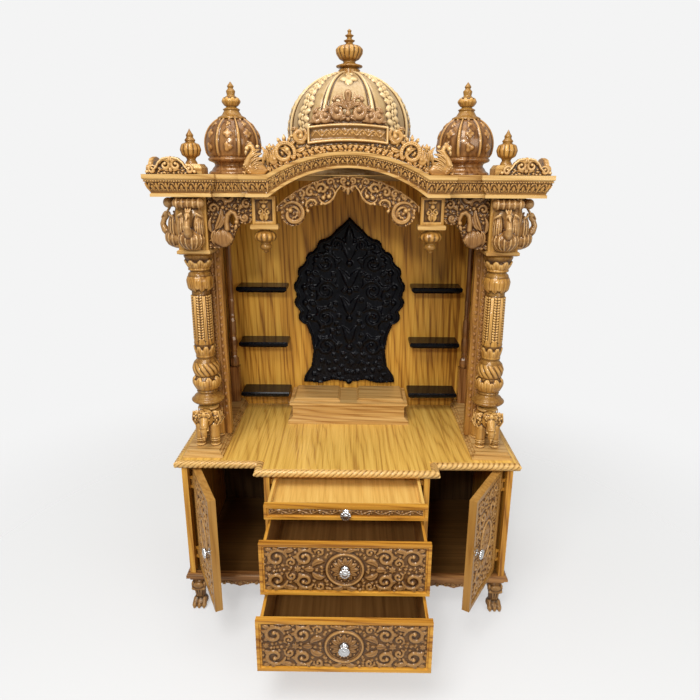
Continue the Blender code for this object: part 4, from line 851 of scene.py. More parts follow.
def swan_in_profile(c, at):
    """Body with rows of feathers, a folded wing and a neck that bends over and down."""
    c.leaf(at(0.46, 0.14), at(0.99, 0.12), 0.027, 0.0105, 0.06, 0.0)
    for k in range(4):
        c.leaf(at(0.6 + 0.085 * k, 0.285), at(0.53 + 0.12 * k, 0.045), 0.0088, 0.0116, 0.1, 0.45)
    c.leaf(at(0.52, 0.2), at(0.46, 0.07), 0.007, 0.0112, 0.15, 0.4)
    c.leaf(at(0.86, 0.28), at(0.7, 0.64), 0.0105, 0.0112, 0.12, 0.45)
    c.leaf(at(0.93, 0.24), at(0.9, 0.5), 0.0062, 0.0105, -0.15)
    c.leaf(at(0.78, 0.3), at(0.64, 0.52), 0.006, 0.011, 0.12)
    c.bead(*at(0.655, 0.615), 0.006, 0.0112)
    neck = [at(*p) for p in ((0.585, 0.3), (0.595, 0.4), (0.56, 0.5), (0.48, 0.555), (0.4, 0.53),
                             (0.35, 0.45),
                             (0.365, 0.39))]
    c.ridge(neck, 0.0085, 0.0062, 0.012)
    c.bead(*at(0.365, 0.4), 0.0078, 0.0125)
    c.leaf(at(0.375, 0.38), at(0.435, 0.27), 0.0052, 0.011, -0.1)
    for k in range(4):
        c.leaf(at(0.34 - 0.012 * k, 0.47 + 0.035 * k), at(0.285 - 0.002 * k, 0.5 + 0.04 * k), 0.003, 0.01)


def inside_spandrel(c, low, high):
    """Outline of the corner board: ragged above the neck and full at the swan's breast."""
    x, z = np.meshgrid(c.xs, c.zs)
    u = (x - low.x) / (high.x - low.x)
    v = (z - low.z) / (high.z - low.z)
    floor = np.interp(u, (0, 0.06, 0.19, 0.28, 0.32, 0.36, 0.4, 0.46, 0.52, 0.62, 0.8, 1.0),
                      (0.44, 0.39, 0.365, 0.385, 0.32, 0.3, 0.25, 0.13, 0.05, 0.02, 0.0, 0.0))
    gap = np.hypot((u - 0.465) / 0.05, (v - 0.43) / 0.075) < 1
    return (v > floor) & ~gap


def spandrels():
    """Carved corner boards with their posts and turned pendants."""
    for side, word in SIDES:
        low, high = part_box(word + "_spandrel")
        arch_low, arch_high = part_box("cusped_arch")
        front = arch_low.y
        inner = arch_high.x + 0.0003
        post = 0.07
        board_low = Vector((inner + post - 0.001, front, 1.235))
        outer = high.x if side > 0 else -low.x
        board_high = Vector((outer, arch_high.y, high.z))
        c = spandrel_carving(board_low, board_high)
        keep = inside_spandrel(c, board_low, board_high)
        c.fill(0.008, 70, 0.0078, 9, keep)

        def place(x, z, up, side=side, front=front):
            return np.stack([side * x, front + 0.0085 - up, z], -1)

        made = flat_relief(word + "_spandrel_carving", c, place, 0.011, keep, -0.015, side < 0)
        dress(made, CARVED_DEEP, replaces=(word + "_spandrel",))
        pendant_post(side, word, inner, post, low)


def pendant_post(side, word, inner, wide, low):
    """Square post with a floral drop on its face, a lip and a turned pendant."""
    middle = inner + wide / 2
    half = wide / 2 - 0.001
    foot = low.z + 0.088
    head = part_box("cornice")[0].z + 0.001
    c = Carving(-half, half, foot, head, 0.0016)
    x, z = np.meshgrid(c.xs, c.zs)
    edge = np.minimum(half - np.abs(x), np.minimum(z - foot, head - z))
    c.high = np.where(edge < 0.009, 0.005, 0.0)
    centre = (foot + head) / 2
    tall = (head - foot) / 2
    c.bead(0, centre + 0.012, 0.007, 0.0075)
    for way in (-1, 1):
        c.leaf((way * 0.001, centre + 0.02), (way * 0.003, centre + 0.8 * tall), 0.005, 0.0055, way * 0.1)
        c.leaf((way * 0.003, centre + 0.02), (way * 0.0145, centre + 0.62 * tall), 0.0045, 0.0052,
               way * 0.2)
        c.curl(way * 0.0105, centre - 0.004, 0.0095, 90, 1.1, way, 0.0028, 0.0062)
        c.leaf((way * 0.004, centre - 0.008), (way * 0.001, centre - 0.8 * tall), 0.0075, 0.0065,
               way * 0.15)
    c.bead(0, centre - 0.3 * tall, 0.005, 0.0072)
    front = low.y + 0.0045

    def place(x, z, up):
        return np.stack([x + side * middle, front + 0.003 - up + 0 * x, z], -1)

    made = flat_relief(word + "_post_face", c, place, 0.006, back=-0.044)
    dress(made, CARVED_Z)
    deep = 0.0245
    cap = [(half + 0.0062, deep, foot - 0.014), (half + 0.0078, deep, foot - 0.011),
           (half + 0.0078, deep, foot - 0.004), (half + 0.005, deep, foot)]
    made = square_turning(word + "_post_lip", (side * middle, front + 0.0225), cap)
    dress(made, BOARD_PALE)
    top = foot - 0.0125
    profile = [(0.012, top), (0.013, top - 0.006), (0.019, top - 0.008), (0.0295, top - 0.014),
               (0.0335, top - 0.024),
               (0.0295, top - 0.034), (0.018, top - 0.04), (0.0125, top - 0.044), (0.016, top - 0.048),
               (0.019, top - 0.055), (0.015, top - 0.062), (0.006, top - 0.066), (0.0075, top - 0.07),
               (0.0001, top - 0.0755)]

    def ribs(turn, share):
        belly = np.clip(1 - np.abs(share - 0.34) / 0.2, 0, 1)
        return 0.0016 * np.abs(np.cos(6 * turn)) * belly

    made = carved_turning(word + "_pendant", (side * middle, front + 0.0225), profile, ribs, 72, 0.0018,
                          0.003)
    dress(made, CARVED_Z)


def square_turning(name, at, rings):
    """Square moulding from rings of half width, half depth and height."""
    corners = np.array([(-1, -1), (1, -1), (1, 1), (-1, 1)], float)
    points = []
    for half, deep, z in rings:
        points.append([(at[0] + half * cx, at[1] + deep * cy, z) for cx, cy in corners])
    points = np.array(points)
    count = len(rings)
    faces = []
    for k in range(count - 1):
        for j in range(4):
            faces.append((4 * k + j, 4 * k + (j + 1) % 4, 4 * k + 4 + (j + 1) % 4, 4 * k + 4 + j))
    faces.append((3, 2, 1, 0))
    faces.append(tuple(4 * count - 4 + j for j in range(4)))
    return mesh_piece(name, points.reshape(-1, 3), np.array(faces), np.full(4 * count, 0.5), False)


# Turned pieces with carving in bands

def dense_profile(profile, step, ease=2):
    """Points along a profile at an even spacing, with its corners eased a little."""
    points = np.array(profile, float)
    run = np.concatenate([[0], np.cumsum(np.hypot(*np.diff(points, axis=0).T))])
    count = max(8, int(run[-1] / step))
    where = np.linspace(0, run[-1], count + 1)
    radius = np.interp(where, run, points[:, 0])
    height = np.interp(where, run, points[:, 1])
    for _ in range(ease):
        radius[1:-1] = (radius[:-2] + 2 * radius[1:-1] + radius[2:]) / 4
        height[1:-1] = (height[:-2] + 2 * height[1:-1] + height[2:]) / 4
    return radius, height, where / run[-1]


def carved_turning(name, at, profile, pattern, around, step, depth, ease=2, by_height=False):
    """Turned piece whose surface is raised by a pattern of angle and share along its profile or height."""
    radius, height, share = dense_profile(profile, step, ease)
    if by_height:
        share = (height - height.min()) / (height.max() - height.min())
    turn = np.linspace(0, tau, around, endpoint=False)[None, :]
    high = pattern(turn, share[:, None]) + 0 * turn
    slope_r = np.gradient(radius)
    slope_z = np.gradient(height)
    length = np.hypot(slope_r, slope_z) + 1e-9
    sense = 1 if height[-1] > height[0] else -1
    out_r = (sense * slope_z / length)[:, None]
    out_z = (-sense * slope_r / length)[:, None]
    r = np.maximum(radius[:, None] + high * out_r, 0)
    z = height[:, None] + high * out_z
    points = np.stack([at[0] + r * np.cos(turn), at[1] + r * np.sin(turn), z], -1)
    return grid_mesh(name, points, cavity_of(high, depth, 2, True), wrap=True, flip=sense < 0)


def petals(turn, share, low, high, count, rise, up=True, shift=0.0, vein=0.3):
    """Band of overlapping round-topped petals between two shares of the height."""
    t = (share - low) / (high - low)
    t = t if up else 1 - t
    u = ((turn / tau * count + shift) % 1.0) - 0.5
    width = 0.49 * np.sqrt(np.clip(1 - np.clip(t, 0, 1) ** 3.0, 1e-6, 1))
    inside = (t > 0) & (t < 1) & (np.abs(u) < width)
    bulge = np.sqrt(np.clip(1 - (u / width) ** 2, 0, 1))
    lift = rise * (0.35 + 0.65 * np.sin(pi * np.clip(t, 0, 1) * 0.62)) * bulge ** 0.8
    lift = lift * (1 - vein * np.exp(-(u / 0.05) ** 2))
    return np.where(inside, lift, 0)


def gadroons(turn, share, low, high, count, rise, twist=0.0):
    """Round ribs that run up a band, straight or swirled."""
    t = np.clip((share - low) / (high - low), 0, 1)
    u = (turn / tau * count + twist * t) % 1.0 - 0.5
    fade = np.sin(pi * t) ** 0.5
    inside = (share > low) & (share < high)
    return np.where(inside, rise * fade * np.sqrt(np.clip(1 - (2.1 * u) ** 2, 0, 1)), 0)


def husks(turn, share, low, high, strips, rows, rise):
    """Chains of split husks in strips, with plain round reeds between them."""
    t = (share - low) / (high - low)
    u = (turn / tau * strips) % 1.0 - 0.5
    inside = (t > 0) & (t < 1)
    step = (t * rows - 1.3 * np.abs(u)) % 1.0
    chain = rise * np.sin(pi * step) ** 0.8 * (1 - 0.9 * np.exp(-(u / 0.05) ** 2))
    chain = np.where(np.abs(u) < 0.3, chain, 0)
    reed = 0.9 * rise * np.sqrt(np.clip(1 - ((np.abs(u) - 0.42) / 0.075) ** 2, 0, 1))
    return np.where(inside, np.maximum(chain, reed), 0)


def column_profile(foot, top):
    """Radii and heights of the turned column, from the disc on the elephant's back to the abacus."""
    shares = ((34, 0.0), (45, 0.008), (52.4, 0.022), (52.4, 0.03), (46, 0.038), (43, 0.043), (44, 0.049),
              (36, 0.06),
              (31, 0.068), (29, 0.074), (35, 0.083), (31, 0.095),
              (36, 0.107), (42, 0.143), (40, 0.17), (32, 0.188), (36, 0.2), (39, 0.24), (35, 0.283),
              (26, 0.303), (29.5, 0.315), (25.5, 0.327), (31.5, 0.402), (28, 0.418), (27, 0.735),
              (25, 0.745),
              (33.5, 0.762), (38, 0.806), (33.5, 0.85), (26, 0.863), (31.5, 0.875), (27, 0.885),
              (30.5, 0.897),
              (44, 0.96), (35, 0.974))
    return [(0.001 * radius + 0.0004, foot + (top - foot) * share) for radius, share in shares]


def column_pattern(turn, share):
    high = petals(turn, share, 0.104, 0.19, 8, 0.0048)
    high = np.maximum(high, petals(turn, share, 0.104, 0.172, 8, 0.0052, True, 0.5))
    high = np.maximum(high, gadroons(turn, share, 0.198, 0.29, 14, 0.0042, 1.6))
    high = np.maximum(high, petals(turn, share, 0.328, 0.404, 8, 0.0044))
    high = np.maximum(high, petals(turn, share, 0.328, 0.38, 8, 0.0048, True, 0.5))
    high = np.maximum(high, petals(turn, share, 0.412, 0.452, 8, 0.0036, True, 0.5))
    high = np.maximum(high, husks(turn, share, 0.44, 0.732, 6, 17, 0.0042))
    high = np.maximum(high, petals(turn, share, 0.76, 0.856, 8, 0.0044, False))
    high = np.maximum(high, petals(turn, share, 0.78, 0.852, 8, 0.0048, False, 0.5))
    high = np.maximum(high, petals(turn, share, 0.896, 0.962, 8, 0.0058))
    return np.maximum(high, petals(turn, share, 0.896, 0.946, 8, 0.0064, True, 0.5))


def columns():
    for side, word in SIDES:
        low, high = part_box(word + "_front_column")
        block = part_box(word + "_corner_finial")
        place = ((block[0].x + block[1].x) / 2, (block[0].y + block[1].y) / 2)
        profile = column_profile(low.z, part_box(word + "_spandrel")[0].z + 0.012)
        made = carved_turning(word + "_column_carving", place, profile, column_pattern, 112, 0.0019,
                              0.0045, 1, True)
        dress(made, CARVED_Z, replaces=(word + "_front_column",))
        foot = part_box(word + "_spandrel")[0].z + 0.012
        rings = [(0.043, 0.043, foot - 0.014), (0.05, 0.05, foot - 0.011), (0.05, 0.05, foot - 0.0035),
                 (0.046, 0.046, foot)]
        dress(square_turning(word + "_abacus", place, rings), BOARD_PALE)
        reeded_post(word + "_block", place, 0.0445, foot - 0.0005, high.z)


# Domes and finials

def dome_profile(base, foot, radius, widest, crown):
    """Stepped foot under a swelling dome."""
    shares = ((0.92, 0.0), (0.92, 0.06), (0.8, 0.13), (0.77, 0.2), (0.69, 0.28), (0.71, 0.37), (0.9, 0.44),
              (0.94, 0.51), (0.86, 0.58))
    points = [(foot * share + 0.0003, base + (widest - base) * height) for share, height in shares]
    for turn in np.radians(np.linspace(-24, 88, 40)):
        tall = crown - widest if turn > 0 else widest - base
        points.append((radius * cos(turn), widest + tall * sin(turn)))
    return points


def leaf_chain(u, t, offset, rows, half, rise):
    """Chain of small leaves that runs up a gore beside its rib."""
    v = (u - offset) / half
    step = (t * rows) % 1.0
    shape = np.clip(1 - (v / (0.35 + 0.65 * np.sin(pi * step))) ** 2, 0, 1)
    return rise * np.sqrt(shape) * (0.3 + 0.7 * np.sin(pi * step) ** 0.6)


def centre_dome_pattern(turn, share):
    """A smooth rib on each seam and a vine of paired leaves up each gore but the front one."""
    t = np.clip((share - 0.26) / 0.72, 0, 1)
    u = (turn / tau * 8 + 0.5) % 1.0 - 0.5
    seam = 0.5 - np.abs(u)
    rib = 0.0055 * np.sqrt(np.clip(1 - (seam / 0.045) ** 2, 0, 1))
    groove = -0.0018 * np.exp(-((seam - 0.075) / 0.022) ** 2)
    wave = 0.035 * np.sin(tau * 5 * t)
    leaves = leaf_chain(u, t, wave + 0.095, 17, 0.082, 0.006)
    leaves = np.maximum(leaves, leaf_chain(u, t + 0.5 / 17, wave - 0.095, 17, 0.082, 0.006))
    leaves = np.maximum(leaves, leaf_chain(u, t + 0.25 / 17, wave, 34, 0.035, 0.0066))
    front = np.abs(turn - 1.5 * pi) < pi / 8
    leaves = np.where((t > 0.04) & (t < 0.93) & ~front, leaves, 0)
    crown = motif(u, t, 0.0, 0.72, 0.09, 4, 0.0075, 0.3)
    crown = np.maximum(crown, motif(u, t, 0.0, 0.83, 0.055, 3, 0.007, 0.26))
    leaves = np.maximum(leaves, np.where(front, crown, 0))
    high = np.maximum(rib, leaves) + groove
    return np.where(t > 0, high * np.minimum(1, t * 12), 0)


def motif(u, t, u0, t0, size, petal_count, rise, squash):
    """Small flower on a dome, at a place in its gore."""
    du = (u - u0) * squash
    dt = t - t0
    away = np.hypot(du, dt) / size
    angle = np.arctan2(dt, du)
    edge = 0.55 + 0.45 * np.abs(np.cos(petal_count * angle / 2))
    return np.where(away < edge, rise * np.sqrt(np.clip(1 - (away / edge) ** 2, 0,
                                                        1)) * (0.55 + 0.45 * away), 0)


def side_dome_pattern(turn, share):
    """Ribs and three small flowers up the middle of each gore."""
    t = np.clip((share - 0.3) / 0.68, 0, 1)
    u = (turn / tau * 8 + 0.5) % 1.0 - 0.5
    rib = 0.004 * np.sqrt(np.clip(1 - ((0.5 - np.abs(u)) / 0.075) ** 2, 0, 1))
    high = rib
    for t0, size, count in ((0.2, 0.085, 3), (0.44, 0.09, 4), (0.64, 0.07, 3), (0.8, 0.06, 4)):
        high = np.maximum(high, motif(u, t, 0.0, t0, size, count, 0.005, 0.42))
    return np.where(t > 0, high * np.minimum(1, t * 10), 0)


def scaled_profile(shares, radius, low, high):
    return [(share * radius + 0.0003, low + (high - low) * height) for share, height in shares]


def roof():
    """The three domes with their finials."""
    low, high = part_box("centre_dome")
    at = ((low.x + high.x) / 2, (low.y + high.y) / 2)
    base = low.z
    radius = (high.x - low.x) / 2
    widest, crown = base + 0.128, base + 0.294
    profile = dome_profile(base, 0.872 * radius, radius, widest, crown)
    made = carved_turning("centre_dome_shell", at, profile, centre_dome_pattern, 440, 0.0028, 0.006, 1)
    dress(made, CARVED_DOME, replaces=("centre_dome",))
    shares = ((0.82, 0.0), (0.82, 0.12), (0.58, 0.15), (1.0, 0.18), (1.0, 0.21), (0.48, 0.26), (0.44, 0.3),
              (0.72, 0.36), (0.95, 0.48), (0.98, 0.55), (0.78, 0.62), (0.3, 0.67), (0.24, 0.7),
              (0.44, 0.745),
              (0.2, 0.775), (0.17, 0.81), (0.34, 0.855), (0.14, 0.885), (0.11, 0.92), (0.17, 0.955),
              (0.0, 1.0))
    profile = scaled_profile(shares, 0.04, crown - 0.006, high.z)

    def ribs(turn, share):
        return gadroons(turn, share, 0.33, 0.64, 16, 0.0024)

    made = carved_turning("centre_dome_finial", at, profile, ribs, 128, 0.0014, 0.003, 1, True)
    dress(made, CARVED_Z)
    for side, word in SIDES:
        low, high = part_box(word + "_dome")
        at = ((low.x + high.x) / 2, (low.y + high.y) / 2)
        radius = (high.x - low.x) / 2
        widest, crown = low.z + 0.0854, low.z + 0.1654
        profile = dome_profile(low.z, radius, radius, widest, crown)
        made = carved_turning(word + "_dome_shell", at, profile, side_dome_pattern, 208, 0.0025, 0.004, 1)
        dress(made, CARVED_BROWN, replaces=(word + "_dome",))
        shares = ((1.0, 0.0), (1.0, 0.04), (0.7, 0.1), (0.52, 0.22), (0.62, 0.26), (0.34, 0.32),
                  (0.48, 0.38),
                  (0.6, 0.47), (0.48, 0.57), (0.26, 0.63), (0.32, 0.75), (0.16, 0.82), (0.24, 0.87),
                  (0.0, 1.0))
        profile = scaled_profile(shares, 0.042, crown - 0.008, high.z)
        made = carved_turning(word + "_dome_finial", at, profile, finial_pattern(0.38, 0.57), 80, 0.0015,
                              0.003, 1, True)
        dress(made, CARVED_Z)
        corner_ball(side, word)


def finial_pattern(low, high):
    def pattern(turn, share):
        cup = petals(turn, share, low - 0.03, high, 8, 0.0028)
        return np.maximum(cup, petals(turn, share, low - 0.03, high - 0.04, 8, 0.0032, True, 0.5))
    return pattern


def corner_ball(side, word):
    low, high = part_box(word + "_corner_finial")
    at = ((low.x + high.x) / 2, (low.y + high.y) / 2)
    shares = ((0.62, 0.0), (0.6, 0.06), (0.42, 0.14), (0.5, 0.19), (0.86, 0.27), (1.0, 0.42), (0.86, 0.56),
              (0.44, 0.63), (0.56, 0.68), (0.32, 0.76), (0.38, 0.82), (0.18, 0.9), (0.0, 1.0))
    profile = scaled_profile(shares, 0.0283, low.z + 0.026, high.z)

    def pattern(turn, share):
        return gadroons(turn, share, 0.22, 0.6, 12, 0.002)

    made = carved_turning(word + "_corner_ball", at, profile, pattern, 96, 0.0016, 0.0025, 1, True)
    dress(made, CARVED_Z)


# Crest, cornice and antefixes

def arc_rise(x, half=0.228, rise=0.062):
    """How far the middle of the cornice has risen at x."""
    radius = (half ** 2 + rise ** 2) / (2 * rise)
    inside = np.sqrt(np.clip(radius ** 2 - np.asarray(x, float) ** 2, 0, None)) - (radius - rise)
    return np.where(np.abs(x) < half, inside, 0.0)


def crest_scrolls(c, base):
    """Fleur, volutes and leaf row of the right half, with heights above the cornice top."""
    def up(height):
        return base + height

    c.ridge([(0, up(0.168)), (0, up(0.19)), (0, up(0.21))], 0.0045, 0.012, 0.014, 0, 0.35)
    c.leaf((0.002, up(0.17)), (0.016, up(0.22)), 0.0065, 0.0125, -0.14, 0.4)
    arm = [(0.002, up(0.17)), (0.009, up(0.187)), (0.019, up(0.199)), (0.029, up(0.203)),
           (0.037, up(0.1985))]
    c.ridge(arm, 0.0038, 0.0064, 0.0132, 0, 0.3)
    c.bead(0.0385, up(0.1955), 0.0072, 0.0138)
    c.curl(0.029, up(0.165), 0.022, 150, 1.45, -1, 0.0076, 0.0138, 0)
    c.bead(0.0, up(0.16), 0.009, 0.015)
    c.bead(0.0, up(0.146), 0.0064, 0.013)
    c.leaf((0.003, up(0.152)), (0.022, up(0.14)), 0.0076, 0.012, 0.2)
    c.curl(0.06, up(0.152), 0.0175, 100, 1.3, -1, 0.0066, 0.0128, 2)
    c.curl(0.087, up(0.15), 0.016, 60, 1.35, 1, 0.006, 0.0124, 2)
    c.leaf((0.096, up(0.156)), (0.072, up(0.176)), 0.0062, 0.0105, -0.2)
    c.leaf((0.052, up(0.166)), (0.066, up(0.182)), 0.0058, 0.011, 0.15)
    c.leaf((0.084, up(0.138)), (0.112, up(0.136)), 0.0055, 0.0105, 0.1)
    c.leaf((0.038, up(0.14)), (0.072, up(0.136)), 0.0055, 0.0105, 0.1)
    c.curl(0.134, up(0.104), 0.0195, 140, 1.45, 1, 0.0068, 0.0128, 2)
    c.leaf((0.118, up(0.084)), (0.144, up(0.078)), 0.007, 0.0115, 0.2)
    c.leaf((0.12, up(0.074)), (0.15, up(0.066)), 0.0075, 0.0115, -0.2)
    c.leaf((0.138, up(0.12)), (0.16, up(0.114)), 0.006, 0.0105, 0.2)
    c.bead(0.156, up(0.102), 0.0056, 0.0115)
    big_volute(c, base)
    for x in np.arange(0.01, 0.228, 0.0165):
        foot = base + float(arc_rise(x)) + 0.002
        c.leaf((x - 0.006, foot + 0.002), (x + 0.007, foot + 0.015), 0.0056, 0.011, 0.25, 0.45)
        c.leaf((x + 0.004, foot + 0.001), (x + 0.012, foot + 0.0085), 0.0034, 0.009, 0.2, 0.2)
        c.bead(x + 0.0085, foot + 0.0125, 0.0032, 0.0095)


def big_volute(c, base):
    """Broad scroll with pearls and a leaf inside it, between the plaque and the swan."""
    x, z = 0.177, base + 0.058
    band = []
    for t in np.linspace(0, 1, 34):
        turn = radians(205 - 430 * t)
        out = 0.029 * (1 - 0.6 * t ** 1.4)
        band.append((x + out * cos(turn), z + out * sin(turn)))
    c.ridge(band, 0.0058, 0.0044, 0.0142, 0.002, 0.45)
    c.bead(*band[-1], 0.0086, 0.015)
    c.leaf((x - 0.014, z - 0.01), (x + 0.017, z + 0.011), 0.008, 0.0128, 0.22, 0.5)
    c.leaf((x - 0.01, z + 0.004), (x + 0.006, z + 0.02), 0.0055, 0.0122, 0.15, 0.45)
    c.curl(x + 0.029, z - 0.02, 0.013, 120, 1.2, -1, 0.0052, 0.012, 2)
    c.curl(x - 0.008, z - 0.031, 0.01, 200, 1.2, 1, 0.0044, 0.011, 0)
    for aim, long in ((128, 0.016), (106, 0.02), (84, 0.02), (60, 0.016)):
        turn = radians(aim)
        foot = (x + 0.03 * cos(turn), z + 0.03 * sin(turn))
        c.leaf(foot, (foot[0] + long * cos(turn + 0.15), foot[1] + long * sin(turn + 0.15)), 0.0058,
               0.011, 0.1, 0.4)
    for side, high, half in ((0.034, 0.028, 0.0095), (0.046, 0.018, 0.0085), (0.026, 0.016, 0.007)):
        c.leaf((x + 0.036, z - 0.034), (x + side, z + high), half, 0.0122, 0.12, 0.5)


def crest_plaque(c, base):
    """Arched tablet with a raised border and a running vine."""
    half, low, high, bow = 0.109, base + 0.084, base + 0.124, 0.008

    def lift(x):
        return bow * (1 - (x / half) ** 2)

    xs = np.linspace(-half, half, 40)
    x, z = np.meshgrid(c.xs, c.zs)
    field = (np.abs(x) < half) & (z > low + lift(x)) & (z < high + lift(x))
    c.high = np.where(field, 0.005, c.high)
    for edge in (low, high):
        c.ridge([(t, edge + lift(t)) for t in xs], 0.0042, 0.0042, 0.014)
    for side in (-1, 1):
        c.ridge([(side * half, low), (side * half, high)], 0.0042, 0.0042, 0.014)
    middle = (low + high) / 2
    vine = [(t, middle + lift(t) + 0.0065 * sin(pi * t / 0.016)) for t in np.linspace(-half + 0.01,
            half - 0.01, 160)]
    c.ridge(vine, 0.0018, 0.0018, 0.0085)
    for k in range(-5, 6):
        t = 0.016 * k + 0.008
        if abs(t) < half - 0.014:
            way = -1 if k % 2 else 1
            c.leaf((t, middle + lift(t) + way * 0.003), (t + 0.006, middle + lift(t) - way * 0.011),
                   0.004, 0.0085, 0.1)
            c.bead(t - 0.004, middle + lift(t) - way * 0.006, 0.0026, 0.0085)


def crest_swan(c, base):
    """Swan that faces outward at the end of the crest, with a folded wing and a tail of leaves."""
    def at(x, height):
        return x, base + height

    c.leaf(at(0.227, 0.012), at(0.298, 0.02), 0.0255, 0.0118, -0.05, 0.0)
    c.leaf(at(0.254, 0.005), at(0.29, 0.038), 0.019, 0.0122, -0.1, 0.0)
    neck = [at(0.2825, 0.028), at(0.276, 0.042), at(0.268, 0.054), at(0.2635, 0.065), at(0.268, 0.0735),
            at(0.2765, 0.075), at(0.283, 0.0685)]
    c.ridge(neck, 0.0108, 0.0056, 0.014)
    c.bead(*at(0.2805, 0.069), 0.008, 0.0152)
    c.leaf(at(0.283, 0.067), at(0.286, 0.048), 0.0046, 0.0132)
    c.leaf(at(0.2745, 0.076), at(0.284, 0.09), 0.0042, 0.0112, 0.2)
    c.leaf(at(0.27, 0.076), at(0.272, 0.089), 0.0036, 0.0108, 0.1)
    for x0, z0, x1, z1 in ((0.278, 0.033, 0.24, 0.068), (0.279, 0.026, 0.234, 0.056),
                           (0.277, 0.019, 0.23, 0.043),
                           (0.273, 0.013, 0.232, 0.03), (0.268, 0.008, 0.238, 0.018)):
        c.leaf(at(x0, z0), at(x1, z1), 0.0074, 0.015, -0.16, 0.45)
    for k in range(5):
        c.bead(*at(0.2905 - 0.004 * k, 0.025 - 0.005 * k), 0.004, 0.0138)
    c.bead(*at(0.252, 0.074), 0.006, 0.0125)
    c.leaf(at(0.23, 0.036), at(0.246, 0.078), 0.0062, 0.012, 0.16, 0.45)
    c.leaf(at(0.226, 0.038), at(0.23, 0.074), 0.0056, 0.0115, 0.1, 0.45)
    c.sprig(*at(0.219, 0.066), 0.019, 90, 0.011, 3)
    c.leaf(at(0.224, 0.064), at(0.237, 0.02), 0.006, 0.0115, 0.12, 0.45)
    c.leaf(at(0.215, 0.056), at(0.224, 0.018), 0.0052, 0.0105, 0.1, 0.45)


def crest():
    low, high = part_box("arch_crest")
    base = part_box("cornice")[0].z + CORNICE_TALL
    c = Carving(low.x, high.x, base, high.z, 0.0016)
    crest_scrolls(c, base)
    crest_swan(c, base)
    c.mirror_x()
    crest_plaque(c, base)
    x, z = np.meshgrid(np.abs(c.xs), c.zs)
    tops = ((0, 0.155), (0.05, 0.148), (0.1, 0.138), (0.112, 0.124), (0.14, 0.108), (0.16, 0.084),
            (0.2, 0.07),
            (0.232, 0.056), (0.262, 0.024), (0.286, 0.014), (0.296, 0.004))
    ground = np.interp(x, [t[0] for t in tops], [t[1] for t in tops]) + base
    above = z >= base + arc_rise(x)
    solid = (z < ground) & above
    c.fill(0.0085, 90, 0.0095, 11, solid)
    keep = ((c.high > 0.0015) | solid) & above
    c.high = np.maximum(c.high, np.where(keep, 0.002, 0))
    line = base + 0.1285 + 0.008 * (1 - (x / 0.109) ** 2)
    place = facing_front(low.y, 0.012)
    made = flat_relief("crest_carving", c, place, 0.014, keep & (z < line), -0.0055)
    dress(made, CARVED_CREST, replaces=("arch_crest",))
    made = flat_relief("crest_fleur", c, place, 0.014, keep & (z >= line - 0.0016), -0.0055)
    dress(made, CARVED_FLEUR)


def frieze_tile(period, tall, cell):
    """One hanging leaf between linked arches, with beads over them."""
    c = Carving(0, period, 0, tall, cell)
    mid = period / 2
    for k in range(4):
        c.bead((k + 0.5) * period / 4, 0.94 * tall, 0.1 * period, 0.0034)
    for centre in (0.0, period):
        arch = [(centre + 0.3 * period * cos(t), 0.5 * tall + 0.3 * tall * sin(t)) for t in np.linspace(0,
                pi, 13)]
        c.ridge(arch, 0.055 * period, 0.055 * period, 0.003)
        c.leaf((centre, 0.62 * tall), (centre, 0.14 * tall), 0.16 * period, 0.0034, 0.0, 0.5)
    for way in (-1, 1):
        c.leaf((mid, 0.82 * tall), (mid + way * 0.24 * period, 0.46 * tall), 0.11 * period, 0.003,
               -way * 0.2, 0.4)
        c.bead(mid + way * 0.27 * period, 0.26 * tall, 0.07 * period, 0.0028)
    c.leaf((mid, 0.78 * tall), (mid, 0.06 * tall), 0.13 * period, 0.0036, 0.0, 0.5)
    return c.high[:, :-1]


def mitred(path):
    """Steps of a path, their lengths and outward directions, and the direction at each of its points."""
    step = np.diff(path, axis=0)
    length = np.hypot(step[:, 0], step[:, 1])
    normal = np.stack([step[:, 1], -step[:, 0]], -1) / length[:, None]
    mitre = np.zeros_like(path)
    mitre[0], mitre[-1] = normal[0], normal[-1]
    for k in range(1, len(path) - 1):
        both = normal[k - 1] + normal[k]
        mitre[k] = both * 2 / (both @ both)
    return step, length, normal, mitre


